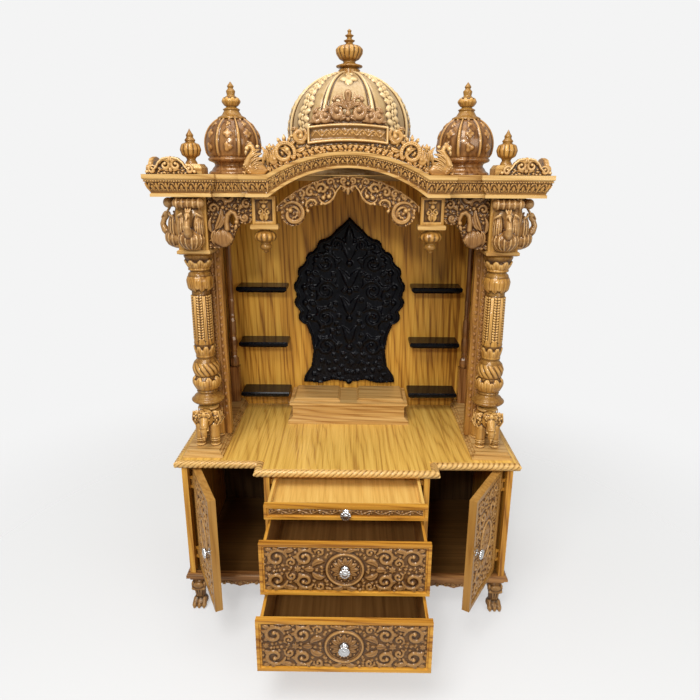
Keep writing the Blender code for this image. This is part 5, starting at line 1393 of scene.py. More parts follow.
def cornice_frieze():
    """Row of carved leaves in the cove, along the front and both sides."""
    low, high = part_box("cornice")
    base = low.z
    tall = 0.062
    near = low.y + 0.018
    half = high.x - 0.018
    left = [(-half, high.y), (-half, near), (-0.392, near), (-0.392, near + 0.022), (-0.288, near + 0.022),
            (-0.288, near)]
    middle = [(x, near) for x in np.linspace(-0.228, 0.228, 17)]
    path = np.array(left + middle + [(-x, y) for x, y in reversed(left)])
    step, length, normal, mitre = mitred(path)
    cell = 0.0015
    rows = 25
    period = 0.025
    tile = frieze_tile(period, 0.036, 0.0012)
    tile = tile[np.linspace(0, len(tile) - 1, rows).astype(int)]
    share = np.linspace(0.165, 0.735, rows)[:, None]
    reach = np.interp(share, (0.16, 0.36, 0.74), (0.0, 0.22, 0.75)) * 0.018 + 0.0002
    done = 0.0
    points = []
    values = []
    for k in range(len(step)):
        count = max(2, int(length[k] / cell))
        t = np.linspace(0, 1, count)[None, :]
        foot = path[k] + step[k] * t[..., None]
        out = mitre[k] + (mitre[k + 1] - mitre[k]) * t[..., None]
        column = ((done + t[0] * length[k]) / period * tile.shape[1]).astype(int) % tile.shape[1]
        lift = tile[:, column]
        done += length[k]
        away = (reach + lift * 0.92)[..., None]
        plan = foot + out * away
        rise = arc_rise(foot[..., 0]) if abs(normal[k][1]) > 0.5 else 0.0 * t
        z = base + share * tall + rise * (1 + 0.3 * (1 - share)) - 0.38 * lift
        points.append(np.concatenate([plan + 0 * z[..., None], z[..., None]], -1))
        values.append(lift)
    points = np.concatenate(points, 1)
    lift = np.concatenate(values, 1)
    made = grid_mesh("cornice_frieze", points, cavity_of(lift, 0.004, 2))
    dress(made, CARVED_X)


def roof_edges():
    """Close the roof beside its deck: a moulded return down each side and a strip in front."""
    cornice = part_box("cornice")
    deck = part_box("roof_deck")
    top = cornice[0].z + 0.0621
    foot = cornice[0].z + 0.0002
    back = cornice[1].y - 0.0003
    wide = cornice[1].x - 0.0003
    section = [(deck[1].x + 0.0003, foot), (wide - 0.018, foot), (wide - 0.018, foot + 0.011),
               (wide - 0.005, top - 0.016),
               (wide, top - 0.011), (wide, top), (deck[1].x + 0.0003, top)]
    for side, word in SIDES:
        loops = np.array([[(side * x, y, z) for x, z in section] for y in (deck[0].y, back)])
        count = len(section)
        faces = [(k, (k + 1) % count, (k + 1) % count + count, k + count) for k in range(count)]
        ends = [tuple(range(count, 2 * count))]
        made = mesh_piece(word + "_cornice_return", loops.reshape(-1, 3), faces + ends,
                          np.full(2 * count, 0.5), False)
        dress(made, BOARD_RETURN)
    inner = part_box("right_corner_finial")[0].x - 0.0005
    front, rear = deck[0].y - 0.026, deck[0].y
    corners = [(x, y, z) for z in (top - 0.004, top - 0.0004) for x, y in
               ((-inner, front), (inner, front), (inner, rear), (-inner, rear))]
    faces = [(3, 2, 1, 0), (4, 5, 6, 7), (0, 1, 5, 4), (1, 2, 6, 5), (2, 3, 7, 6), (3, 0, 4, 7)]
    dress(mesh_piece("roof_front_strip", corners, faces, np.full(8, 0.5), False), BOARD_PALE)


def antefix_carving(half, tall):
    c = Carving(-half, half, 0, tall, 0.0015)
    c.curl(0.015, 0.48 * tall, 0.0155, 20, 1.45, 1, 0.004, 0.009)
    c.curl(0.052, 0.24 * tall, 0.012, 150, 1.4, -1, 0.0034, 0.0085)
    c.bead(half - 0.0055, 0.13 * tall, 0.0052, 0.0085)
    c.leaf((0.0, 0.62 * tall), (0.0, 0.985 * tall), 0.008, 0.0105)
    c.leaf((0.0, 0.66 * tall), (0.0125, 0.86 * tall), 0.0052, 0.009, -0.2)
    c.leaf((0.0, 0.1 * tall), (0.0, 0.42 * tall), 0.006, 0.009)
    c.leaf((0.006, 0.14 * tall), (0.026, 0.2 * tall), 0.005, 0.008, 0.2)
    outer = [(0.006, 0.86 * tall), (0.022, 0.8 * tall), (0.034, 0.6 * tall), (0.041, 0.36 * tall),
             (0.052, 0.16 * tall)]
    c.ridge(outer, 0.004, 0.003, 0.0095)
    c.pearls(0.015, 0.48 * tall, 0.0088, 0, 200, 6, 0.0018)
    c.mirror_x()
    x, z = np.meshgrid(np.abs(c.xs), c.zs)
    top = np.interp(x, (0, 0.01, 0.024, 0.036, 0.045, 0.056, half),
                    (0.96, 0.84, 0.76, 0.52, 0.3, 0.26, 0.1)) * tall
    solid = z < top
    c.fill(0.0065, 16, 0.0062, 4, solid)
    return c, (c.high > 0.0012) | solid


def antefixes():
    for side, word in SIDES:
        low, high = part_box(word + "_antefix")
        half = 0.072
        c, keep = antefix_carving(half, high.z - low.z)
        corner = high.x if side > 0 else low.x
        middle = corner - side * half

        def front(x, z, up, low=low, middle=middle):
            return np.stack([x + middle, low.y + 0.0075 - up + 0 * x, z + low.z], -1)

        def flank(x, z, up, low=low, corner=corner, side=side, half=half):
            return np.stack([corner - side * (0.0075 - up) + 0 * x, low.y + half + x * side, z + low.z], -1)

        made = flat_relief(word + "_antefix_front", c, front, 0.009, keep, -0.006)
        dress(made, CARVED_CREST, replaces=(word + "_antefix",))
        made = flat_relief(word + "_antefix_flank", c, flank, 0.009, keep, -0.006)
        dress(made, CARVED_CREST)


# Scroll brackets under the cornice

def swan_bracket_parts(tall):
    """Swan with raised wings under a ribbed roll, out from the plane y = 0 toward -Y."""
    parts = [ball((0, -0.012, 0.012), (0.028, 0.02, 0.0115)),
             ball((0, -0.017, 0.034), (0.0385, 0.033, 0.03)),
             ball((0, -0.002, 0.086), (0.038, 0.015, 0.048)),
             ball((0, -0.008, tall - 0.018), (0.034, 0.013, 0.018))]
    parts.append(limb((-0.034, -0.025, tall - 0.018), (0.034, -0.025, tall - 0.018), 0.013, 0.013, 20))
    for k in range(5):
        size = 0.0156 if k in (0, 4) else 0.0146
        parts.append(ball((0.016 * (k - 2), -0.025, tall - 0.018), (0.0062, size, size)))
    neck = [(-0.036, 0.044, 0.0135), (-0.05, 0.056, 0.0112), (-0.056, 0.072, 0.009), (-0.051, 0.087, 0.008),
            (-0.043, 0.096, 0.0078), (-0.044, 0.103, 0.0092)]
    for (ay, az, ar), (by, bz, br) in zip(neck, neck[1:]):
        parts.append(limb((0, ay, az), (0, by, bz), ar, br))
    parts.append(limb((0, -0.049, 0.103), (0, -0.059, 0.093), 0.005, 0.0018, 8))
    for k in (-1, 0, 1):
        parts.append(limb((0.002 * k, -0.04, 0.109), (0.007 * k, -0.032, 0.121), 0.0034, 0.0026, 8))
    for way in (-1, 1):
        parts.append(ball((way * 0.0225, -0.011, 0.066), (0.015, 0.02, 0.04)))
        for k in range(5):
            across = radians(-18 + 24 * k)
            ridge = []
            for rise in (-70, -46, -22, 2, 26, 50):
                up = radians(rise)
                ridge.append((way * (0.0225 + 0.0155 * sin(across) * cos(up)),
                              -0.011 - 0.021 * cos(across) * cos(up),
                              0.066 + 0.041 * sin(up)))
            ridge.append((ridge[-1][0] + way * 0.002, ridge[-1][1] - 0.003,
                          ridge[-1][2] + 0.011 - 0.0024 * k))
            for start, end in zip(ridge, ridge[1:]):
                parts.append(limb(start, end, 0.0027, 0.0027, 6))
            parts.append(ball(ridge[-1], (0.0036, 0.0036, 0.0036)))
        for k in range(4):
            turn = radians(14 + 24 * k)
            rib = []
            for rise in (-64, -40, -16, 6, 24):
                up = radians(rise)
                rib.append((way * 0.0385 * sin(turn) * cos(up), -0.017 - 0.033 * cos(turn) * cos(up),
                            0.034 + 0.03 * sin(up)))
            for start, end in zip(rib, rib[1:]):
                parts.append(limb(start, end, 0.0022, 0.0026, 7))
    return parts


def brackets():
    """One bracket on the front of each column block and one on its outer side."""
    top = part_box("cornice")[0].z - 0.0005
    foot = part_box("left_spandrel")[0].z + 0.012
    mesh = blob("swan_bracket_form", swan_bracket_parts(top - foot), 0.0017, 1)
    for side, word in SIDES:
        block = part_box(word + "_corner_finial")
        x0 = (block[0].x + block[1].x) / 2
        y0 = (block[0].y + block[1].y) / 2
        stand = 0.044
        made = place_mesh(word + "_front_bracket", mesh, (x0, y0 - stand, foot))
        dress_shared(made, CARVED_BRACKET, ())
        made = place_mesh(word + "_side_bracket", mesh, (x0 + side * stand, y0, foot), side * pi / 2)
        dress_shared(made, CARVED_BRACKET, ())


# Black backing board

def inside_outline(points, x, z):
    """True where a point lies inside a closed outline."""
    result = np.zeros(x.shape, bool)
    for (ax, az), (bx, bz) in zip(points, points[1:] + points[:1]):
        crosses = (az > z) != (bz > z)
        slope = (bx - ax) / (bz - az if bz != az else 1e-12)
        result ^= crosses & (x < ax + (z - az) * slope)
    return result


def halo_outline(size, foot):
    """Right half from the foot to the point, in steps and round lobes."""
    half = [(0.0, 0.0), (0.09, 0.07), (0.29, 0.1), (0.52, 0.04), (0.86, 0.06), (0.84, 0.18), (0.71, 0.37),
            (0.67, 0.66), (0.71, 0.94), (0.8, 1.18)]
    for cx, cz, start, end in ((0.79, 1.32, -70, 40), (0.857, 1.59, -50, 45), (0.867, 1.87, -45, 50),
                               (0.79, 2.13, -25, 70), (0.638, 2.37, -10, 85), (0.438, 2.59, 0, 95)):
        half += [(cx + 0.143 * cos(t), cz + 0.143 * sin(t)) for t in np.radians(np.linspace(start, end, 8))]
    half += [(0.33, 2.79), (0.23, 2.9), (0.12, 2.99), (0.0, 3.11)]
    return [(x * size, foot + z * size) for x, z in half]


def halo():
    low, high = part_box("halo_panel")
    size = high.x / 1.01
    c = Carving(low.x, high.x, low.z, high.z, 0.0026)
    right = halo_outline(size, low.z)
    outline = right + [(-x, z) for x, z in reversed(right[1:-1])]
    x, z = np.meshgrid(c.xs, c.zs)
    keep = inside_outline(outline, x, z)
    centre = low.z + 1.55 * size
    c.ridge([(0.955 * px, centre + 0.955 * (pz - centre)) for px, pz in right[4:]], 0.005, 0.005, 0.006)
    c.ridge([(0.8 * px, centre + 0.82 * (pz - centre)) for px, pz in right[10:]], 0.003, 0.003, 0.0042)
    for cx, cz, start, end in ((0.79, 1.32, -70, 40), (0.857, 1.59, -50, 45), (0.867, 1.87, -45, 50),
                               (0.79, 2.13, -25, 70), (0.638, 2.37, -10, 85), (0.438, 2.59, 0, 95)):
        c.bead(0.93 * cx * size, low.z + cz * size, 0.011, 0.0085)
        aim = radians((start + end) / 2)
        c.leaf((0.7 * cx * size, low.z + (cz - 0.05) * size),
               (0.84 * cx * size + 0.004 * cos(aim), low.z + (cz + 0.02) * size), 0.011, 0.007)
    for height, reach, start in ((2.3, 0.075, 200), (1.8, 0.085, 160), (1.3, 0.075, 140),
                                 (0.75, 0.06, 200)):
        c.curl(0.42 * size, low.z + height * size, 0.042, start, 1.5, -1, 0.006, 0.0085, 4)
        c.leaf((0.0, low.z + (height + 0.05) * size), (reach * 0.5, low.z + (height + 0.42) * size),
               0.014, 0.008, 0.1)
        c.bead(0.0, low.z + height * size, 0.012, 0.0095)
    c.leaf((0.0, low.z + 2.55 * size), (0.0, low.z + 2.98 * size), 0.018, 0.009)
    c.curl(0.22 * size, low.z + 2.62 * size, 0.026, 220, 1.4, -1, 0.0045, 0.0075, 2)
    c.mirror_x()
    c.fill(0.018, 60, 0.006, 6, keep)
    made = flat_relief("halo_carving", c, facing_front(low.y, 0.0065), 0.009, keep, -0.011)
    dress(made, LACQUER, replaces=("halo_panel",))


# Rope moulding round the counter

def rope():
    """Twisted rope along the front and sides of the top slab."""
    low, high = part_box("rope_moulding")
    radius = (high.z - low.z) / 2
    z = (low.z + high.z) / 2
    front = low.y + radius
    back = front + 0.054
    half = 0.279
    end = high.x - radius
    path = [(-end, high.y), (-end, back), (-half, back), (-half, front), (half, front), (half, back),
            (end, back),
            (end, high.y)]
    points, values = [], []
    done = 0.0
    around = 22
    turn = np.linspace(0, tau, around, endpoint=False)
    path = np.array(path)
    step, length, _, mitre = mitred(path)
    for k in range(len(step)):
        count = max(6, int(length[k] / 0.0019))
        for j in range(count):
            t = j / (count - 1)
            run = done + t * length[k]
            place = path[k] + step[k] * t
            out = mitre[k] + (mitre[k + 1] - mitre[k]) * t
            strand = np.abs(np.cos(2.5 * turn - pi * run / 0.0165))
            size = radius * (0.78 + 0.22 * strand ** 0.6)
            ring = np.stack([place[0] + out[0] * size * np.cos(turn),
                             place[1] + out[1] * size * np.cos(turn),
                             z + size * np.sin(turn)], -1)
            points.append(ring)
            # Low between the strands and high on their crowns: the rope's finish paints shade between them
            # and a highlight on them.
            values.append(0.05 + 0.85 * strand ** 0.8)
        done += length[k]
    made = grid_mesh("rope_carving", np.array(points), np.array(values), wrap=True, flip=True)
    dress(made, CARVED_ROPE, replaces=("rope_moulding",))


# Silver knobs

def knobs():
    """Cast knobs with a ring of petals round a raised centre."""
    homes = [(word + "_drawer_knob", word + "_drawer", Vector((0, -1, 0))) for word in ("lower", "middle",
            "tray")]
    for side, word in SIDES:
        turn, hinge = door_turn(word)
        homes.append((word + "_door_knob", word + "_leaf", Vector((sin(turn), -cos(turn), 0))))
    for node, body, out in homes:
        vertices = np.array([list(NODES[node].matrix_world @ v.co) for v in NODES[node].data.vertices])
        axis = np.array(out)
        along = vertices @ axis
        centre = vertices.mean(0)
        foot = centre + axis * (along.min() - centre @ axis)
        reach = along.max() - along.min()
        radius = 0.015
        across = np.cross(axis, (0, 0, 1))
        profile = [(0.011, 0.0), (0.011, 0.003), (0.0062, 0.006), (0.0062, 0.011), (0.0125, 0.014),
                   (0.015, 0.018),
                   (0.014, 0.0215), (0.0105, 0.0235), (0.008, 0.0228), (0.0062, 0.0245), (0.003, 0.0258),
                   (0.0001, 0.026)]
        r, h, share = dense_profile(profile, 0.0006, 1)
        turn = np.linspace(0, tau, 72, endpoint=False)[None, :]
        rim = np.clip((h[:, None] - 0.0125) / 0.004, 0, 1) * (r[:, None] > 0.0075)
        petal = np.abs(np.cos(6 * turn)) ** 0.7
        lift = 0.0016 * petal * rim
        size = r[:, None] + lift
        deep = h[:, None] * reach / 0.026 + 0.4 * lift
        size = size * radius / 0.015
        points = foot + deep[..., None] * axis + (size * np.cos(turn))[..., None] * across
        points = points + (size * np.sin(turn))[..., None] * np.array((0, 0, 1))
        values = np.clip(0.25 + 0.75 * petal * rim + 0.5 * (1 - rim) * np.ones_like(petal), 0, 1)
        made = grid_mesh(node + "_cast", points, values, wrap=True)
        dress(made, SILVER, body, (node,))


# Melted forms, for what was carved in the round

def blob(name, parts, voxel, smooth=3):
    """Melt balls and tapered limbs into one carved form. A limb is a run of balls between two ends."""
    whole = bpy.data.meshes.new(name)
    bm = bmesh.new()
    for part in parts:
        start, end = part[0], part[1]
        for t in np.linspace(0, 1, part[4]):
            at = Vector(start).lerp(Vector(end), t)
            size = Vector(part[2]).lerp(Vector(part[3]), t)
            matrix = Matrix.Translation(at) @ Matrix.Diagonal((*size, 1))
            rings = 3 if max(size) > 0.01 else 2
            bmesh.ops.create_icosphere(bm, subdivisions=rings, radius=1, matrix=matrix)
    bm.to_mesh(whole)
    bm.free()
    made = bpy.data.objects.new(name, whole)
    bpy.context.scene.collection.objects.link(made)
    remesh = made.modifiers.new("melt", "REMESH")
    remesh.mode = "VOXEL"
    remesh.voxel_size = voxel
    ease = made.modifiers.new("ease", "SMOOTH")
    ease.iterations = smooth
    graph = bpy.context.evaluated_depsgraph_get()
    mesh = bpy.data.meshes.new_from_object(made.evaluated_get(graph))
    bpy.data.objects.remove(made, do_unlink=True)
    bpy.data.meshes.remove(whole)
    mesh.name = name
    mesh.polygons.foreach_set("use_smooth", [True] * len(mesh.polygons))
    add_hollows(mesh, voxel)
    return thinned(mesh)


def add_hollows(mesh, voxel):
    """Cavity values from how far each point lies under or over the average of those around it."""
    count = len(mesh.vertices)
    places = np.empty(count * 3)
    mesh.vertices.foreach_get("co", places)
    places = places.reshape(-1, 3)
    normals = np.empty(count * 3)
    mesh.vertices.foreach_get("normal", normals)
    normals = normals.reshape(-1, 3)
    edges = np.empty(len(mesh.edges) * 2, int)
    mesh.edges.foreach_get("vertices", edges)
    edges = edges.reshape(-1, 2)
    degree = np.bincount(edges.ravel(), minlength=count)[:, None]
    eased = places.copy()
    for _ in range(6):
        total = np.zeros_like(places)
        np.add.at(total, edges[:, 0], eased[edges[:, 1]])
        np.add.at(total, edges[:, 1], eased[edges[:, 0]])
        eased = total / np.maximum(degree, 1)
    proud = ((places - eased) * normals).sum(1) / voxel
    layer = mesh.attributes.new("cavity", "FLOAT", "POINT")
    layer.data.foreach_set("value", np.clip(0.5 + 1.1 * proud, 0, 1).astype(np.float32))


def place_mesh(name, mesh, at, turn=0.0):
    """One more object of a shared form."""
    made = bpy.data.objects.new(name, mesh)
    made.location = at
    made.rotation_euler = (0, 0, turn)
    bpy.context.scene.collection.objects.link(made)
    return made


def limb(start, end, first, last=None, count=12):
    """A run of balls, by its ends and its radii at them."""
    last = first if last is None else last
    return (start, end, (first,) * 3, (last,) * 3, count)


def ball(at, size):
    return (at, at, size, size, 1)


def elephant_parts():
    """Elephant with a headdress, a saddle cloth and pearls, in metres from the middle of its feet."""
    parts = [ball((0, 0.01, 0.086), (0.039, 0.045, 0.042)), ball((0, 0.04, 0.08), (0.034, 0.026, 0.036)),
             ball((0, -0.04, 0.1), (0.026, 0.024, 0.029)), ball((0, 0.004, 0.124), (0.034, 0.036, 0.012))]
    for way in (-1, 1):
        parts.append(limb((way * 0.022, -0.026, 0.07), (way * 0.024, -0.03, 0.014), 0.0175, 0.0148))
        parts.append(limb((way * 0.022, 0.04, 0.07), (way * 0.024, 0.042, 0.012), 0.018, 0.015))
        for y in (-0.031, 0.042):
            parts.append(ball((way * 0.024, y, 0.006), (0.017, 0.017, 0.0058)))
        for k in (-1, 0, 1):
            parts.append(ball((way * 0.023 + k * 0.0068, -0.0435 + 0.002 * abs(k), 0.0045),
                              (0.0036, 0.0034, 0.0042)))
        parts.append(ball((way * 0.024, -0.031, 0.02), (0.0176, 0.0176, 0.0024)))
        parts.append(ball((way * 0.024, -0.031, 0.0262), (0.017, 0.017, 0.0018)))
        parts.append(ball((way * 0.011, -0.05, 0.117), (0.013, 0.012, 0.013)))
        for k in range(6):
            turn = tau * k / 6
            parts.append(ball((way * (0.0125 + 0.0058 * cos(turn)), -0.0625, 0.115 + 0.0058 * sin(turn)),
                              (0.003,) * 3))
        parts.append(ball((way * 0.03, -0.036, 0.106), (0.015, 0.0065, 0.018)))
        parts.append(ball((way * 0.032, -0.035, 0.092), (0.01, 0.0055, 0.015)))
        for k in range(5):
            turn = radians(20 + 70 * k)
            parts.append(ball((way * (0.031 + 0.008 * cos(turn)), -0.043, 0.102 + 0.011 * sin(turn)),
                              (0.003,) * 3))
        parts.append(ball((way * 0.031, -0.043, 0.102), (0.004, 0.003, 0.005)))
        parts.append(limb((way * 0.041, -0.038, 0.121), (way * 0.0455, -0.037, 0.092), 0.0026, 0.0024, 14))
        parts.append(limb((way * 0.0455, -0.037, 0.092), (way * 0.036, -0.038, 0.074), 0.0024, 0.0022, 12))
        parts.append(limb((way * 0.01, -0.06, 0.082), (way * 0.014, -0.078, 0.07), 0.0034, 0.0022))
        parts.append(ball((way * 0.0145, -0.061, 0.1), (0.0034, 0.003, 0.003)))
        for k in range(6):
            drop = 0.006 * sin(pi * k / 5)
            parts.append(ball((way * (0.003 + 0.0042 * k), -0.065 + 0.0016 * k,
                               0.1215 - drop + 0.0005 * k), (0.0021,) * 3))
        for k in range(9):
            parts.append(ball((way * 0.0405, -0.014 + 0.0068 * k, 0.068 + 0.0015 * (k % 2)),
                              (0.003, 0.003, 0.003)))
            parts.append(ball((way * 0.0392, -0.014 + 0.0068 * k, 0.0755), (0.0026, 0.0034, 0.0014)))
        parts.append(limb((way * 0.0395, -0.006, 0.112), (way * 0.041, -0.006, 0.08), 0.002, 0.002, 16))
        parts.append(limb((way * 0.0395, 0.02, 0.112), (way * 0.041, 0.02, 0.08), 0.002, 0.002, 16))
        parts.append(ball((way * 0.0415, 0.007, 0.095), (0.003, 0.007, 0.009)))
    trunk = [(-0.06, 0.1, 0.014), (-0.071, 0.084, 0.0122), (-0.0755, 0.069, 0.0106),
             (-0.0745, 0.056, 0.0092),
             (-0.069, 0.047, 0.0078), (-0.061, 0.0445, 0.0066)]
    for (ay, az, ar), (by, bz, br) in zip(trunk, trunk[1:]):
        parts.append(limb((0, ay, az), (0, by, bz), ar, br))
    for k in range(4):
        z = 0.082 - 0.008 * k
        parts.append(ball((0, -0.0755, z), (0.0118 - 0.0008 * k, 0.0102, 0.0013)))
    for k in range(3):
        parts.append(ball((0, -0.08 + 0.003 * k, 0.048 - 0.0062 * k), (0.005 - 0.001 * k, 0.0036, 0.0044)))
    parts.append(ball((0, -0.0655, 0.119), (0.0066, 0.003, 0.0085)))
    parts.append(ball((0, -0.069, 0.106), (0.0045, 0.003, 0.0055)))
    for row in range(3):
        for k in range(-2, 3):
            parts.append(ball((0.0058 * k, -0.061 - 0.0022 * row + 0.0008 * abs(k), 0.127 - 0.006 * row),
                              (0.0024,) * 3))
    parts.append(limb((0, 0.066, 0.092), (0, 0.068, 0.04), 0.0034, 0.0028, 10))
    return parts


def elephants():
    mesh = blob("elephant_form", elephant_parts(), 0.0017, 2)
    for side, word in SIDES:
        low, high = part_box(word + "_elephant")
        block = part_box(word + "_corner_finial")
        middle = (block[0] + block[1]) / 2
        scale = (high.z - low.z) / 0.138
        made = place_mesh(word + "_elephant_carving", mesh, (middle.x, middle.y - 0.006, low.z))
        made.scale = (scale, scale, scale)
        dress_shared(made, CARVED_Z, (word + "_elephant",))


def dress_shared(piece, material, replaces):
    if not piece.data.materials:
        piece.data.materials.append(material)
    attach(piece, "cabinet")
    if replaces:
        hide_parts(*replaces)


def foot_parts(tall):
    """Cabriole foot with a scroll at its knee and a paw of three toes, facing forward."""
    parts = [ball((0, 0.005, tall - 0.018), (0.0262, 0.029, 0.024)),
             limb((0, 0.004, tall - 0.02), (0, 0.0, tall - 0.05), 0.024, 0.019, 7),
             limb((0, 0.0, tall - 0.05), (0, 0.002, 0.03), 0.019, 0.018, 7),
             ball((0, -0.002, 0.016), (0.0262, 0.028, 0.0155)),
             ball((0, -0.02, tall - 0.018), (0.019, 0.01, 0.012)),
             limb((-0.018, -0.022, tall - 0.03), (0.018, -0.022, tall - 0.03), 0.0066, 0.0066, 12)]
    for k in (-1, 0, 1):
        parts.append(limb((0.014 * k, -0.01, 0.024), (0.016 * k, -0.0255, 0.011), 0.01, 0.0096, 6))
        parts.append(ball((0.0165 * k, -0.033, 0.0058), (0.005, 0.004, 0.0044)))
        parts.append(limb((0.0095 * k, -0.0255, tall - 0.034), (0.006 * k, -0.02, tall - 0.062), 0.0034,
                          0.0024, 10))
    for way in (-1, 1):
        parts.append(ball((way * 0.02, -0.012, tall - 0.02), (0.0062, 0.011, 0.013)))
    return parts


def feet():
    low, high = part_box("front_left_foot")
    tall = high.z - low.z
    mesh = blob("paw_foot_form", foot_parts(tall), 0.0021, 2)
    for side, word in SIDES:
        for end, turn in (("front", 0.0), ("rear", pi)):
            node = end + "_" + word + "_foot"
            low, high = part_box(node)
            x = side * (max(abs(low.x), abs(high.x)) - 0.0262)
            y = low.y + 0.037 if end == "front" else high.y - 0.037
            made = place_mesh(node + "_carving", mesh, (x, y, low.z + 0.0004), turn)
            dress_shared(made, CARVED_FOOT, (node,))


def reeded_post(name, at, half, low, high, body="cabinet"):
    """Square post with upright reeds on its faces."""
    per_side = 44
    plan, depth = [], []
    for k in range(4):
        turn = pi / 2 * k
        for j in range(per_side):
            t = -1 + 2 * (j + 0.5) / per_side
            reed = abs(cos(pi * 3.0 * t)) ** 0.6 if abs(t) < 0.84 else 1.0
            out = half - 0.0022 * (1 - reed)
            x, y = out, t * half
            plan.append((at[0] + x * cos(turn) - y * sin(turn), at[1] + x * sin(turn) + y * cos(turn)))
            # Low in the grooves between the reeds, where the carved finish paints shade.
            depth.append(0.15 + 0.45 * reed)
    plan = np.array(plan)
    rows = []
    for z in (low, high):
        rows.append(np.concatenate([plan, np.full((len(plan), 1), z)], 1))
    made = grid_mesh(name, np.array(rows), np.array([depth, depth]), wrap=True)
    return dress(made, CARVED_Z, body)


def post_bands():
    """Leaf chains down the front posts of the side walls."""
    for side, word in SIDES:
        low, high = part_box(word + "_side_wall")
        c = Carving(-0.038, 0.038, low.z + 0.05, high.z - 0.2, 0.0022)
        for z in np.arange(low.z + 0.055, high.z - 0.21, 0.024):
            for way in (-1, 1):
                c.leaf((0.01, z), (0.01 + way * 0.009, z + 0.016), 0.0055, 0.004, way * 0.2)
                c.leaf((0.03, z + 0.012), (0.03 + way * 0.0055, z + 0.024), 0.004, 0.0036, way * 0.2)
            c.bead(0.01, z + 0.02, 0.004, 0.0045)
        c.ridge([(0.0215, c.zs[0]), (0.0215, c.zs[-1])], 0.0016, 0.0016, 0.0032)
        c.mirror_x()
        front = low.y

        def place(x, z, up, side=side, front=front):
            return np.stack([side * 0.445 + x, front + 0.0004 - up + 0 * x, z], -1)

        made = flat_relief(word + "_post_band", c, place, 0.0045, back=-0.001)
        dress(made, CARVED_POST)


def apron_carving():
    """Scrolls along the apron of each side bay, above its scalloped edge."""
    low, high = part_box("base_apron")
    for side, word in SIDES:
        c = Carving(0.3, 0.47, high.z - 0.021, high.z - 0.002, 0.0018)
        mid = high.z - 0.0115
        for k in range(6):
            x = 0.314 + 0.028 * k
            c.curl(x, mid, 0.008, 90, 1.3, -1 if k % 2 else 1, 0.0022, 0.0036, 2)
            c.leaf((x + 0.008, mid), (x + 0.02, mid + (0.004 if k % 2 else -0.004)), 0.0036, 0.0034, 0.2)
        front = low.y + 0.054

        def place(x, z, up, side=side, front=front):
            return np.stack([side * x, front + 0.0003 - up, z], -1)

        keep = c.high > 0.0004
        made = flat_relief(word + "_apron_carving", c, place, 0.004, keep, -0.001, side < 0)
        dress(made, CARVED_DEEP)


# Plain boards keep their solids and get a finish

def finish_boards():
    level = ["bottom_board", "rope_moulding", "lower_drawer_front", "middle_drawer_front",
             "tray_drawer_front"]
    pale = ["left_plinth", "right_plinth", "cornice", "roof_deck", "idol_plinth"]
    for name in NODES:
        material = BOARD_Z
        if name in level:
            material = BOARD_X
        elif name in pale or name.endswith("_corner_finial"):
            material = BOARD_PALE
        elif name == "top_slab":
            material = BOARD_Y
        elif name == "base_apron":
            material = BROWN_BASE
        elif name.endswith("_door"):
            material = DOOR_TEAK
        elif name == "back_wall":
            material = WALL_GOLD
        elif name.endswith("_side_wall"):
            material = WALL_BROWN
        elif name.endswith("_shelf") or name == "halo_panel":
            material = LACQUER
        elif name.endswith("_knob"):
            material = SILVER
        elif name == "cabinet_back":
            material = DULL
        elif name.endswith("_rear_column"):
            material = POLISHED_BROWN
        set_finish(name, material)
    for word in ("lower", "middle"):
        low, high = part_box(word + "_drawer_box")
        room = (tuple(low + Vector((0.006, 0.006, 0.003))), tuple(high - Vector((0.006, 0.006, 0.0008))))
        set_finish(word + "_drawer_box", wood(word + "_box_teak", "Y", inside=room))
    set_finish("tray_drawer_box", tray_wood())
    low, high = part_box("bottom_board")
    room = ((low.x + 0.02, low.y + 0.075, low.z), (high.x - 0.02, high.y, high.z + 0.01))
    inner = ((0.075, 0.034, 0.009, 1), (0.11, 0.052, 0.014, 1), (0.145, 0.07, 0.02, 1))
    set_finish("bottom_board", wood("bottom_board_teak", "X", (RED_DARK, RED, RED_LIGHT), inside=room,
                                    inner=inner))


def set_finish(node, material):
    NODES[node].data.materials.clear()
    NODES[node].data.materials.append(material)


def tray_wood():
    """Honey-coloured tray with a steel slide along each outer side."""
    low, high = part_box("tray_drawer_box")
    material = wood("tray_teak", "Y", (HONEY_DARK, HONEY, HONEY_LIGHT), 0.3)
    tree = material.node_tree
    shader = tree.nodes["Principled BSDF"]
    middle = (low.z + high.z) / 2
    sides = [inside_mask(tree, (x0, low.y - 0.01, middle - 0.01), (x1, high.y + 0.01, middle + 0.012))
             for x0, x1 in ((low.x - 0.01, low.x + 0.0006), (high.x - 0.0006, high.x + 0.01))]
    slide = math_node(tree, "ADD", *sides)
    plain = shader.inputs["Base Color"].links[0].from_socket
    scratches = stretched_noise(tree, "Y", 8.0, 400.0, 2.0)
    metal = ramp(tree, scratches, (0.3, (0.48, 0.49, 0.5, 1)), (0.7, (0.72, 0.73, 0.74, 1)))
    tree.links.new(mix_colour(tree, slide, plain, metal), shader.inputs["Base Color"])
    tree.links.new(slide, shader.inputs["Metallic"])
    return material


# Stage

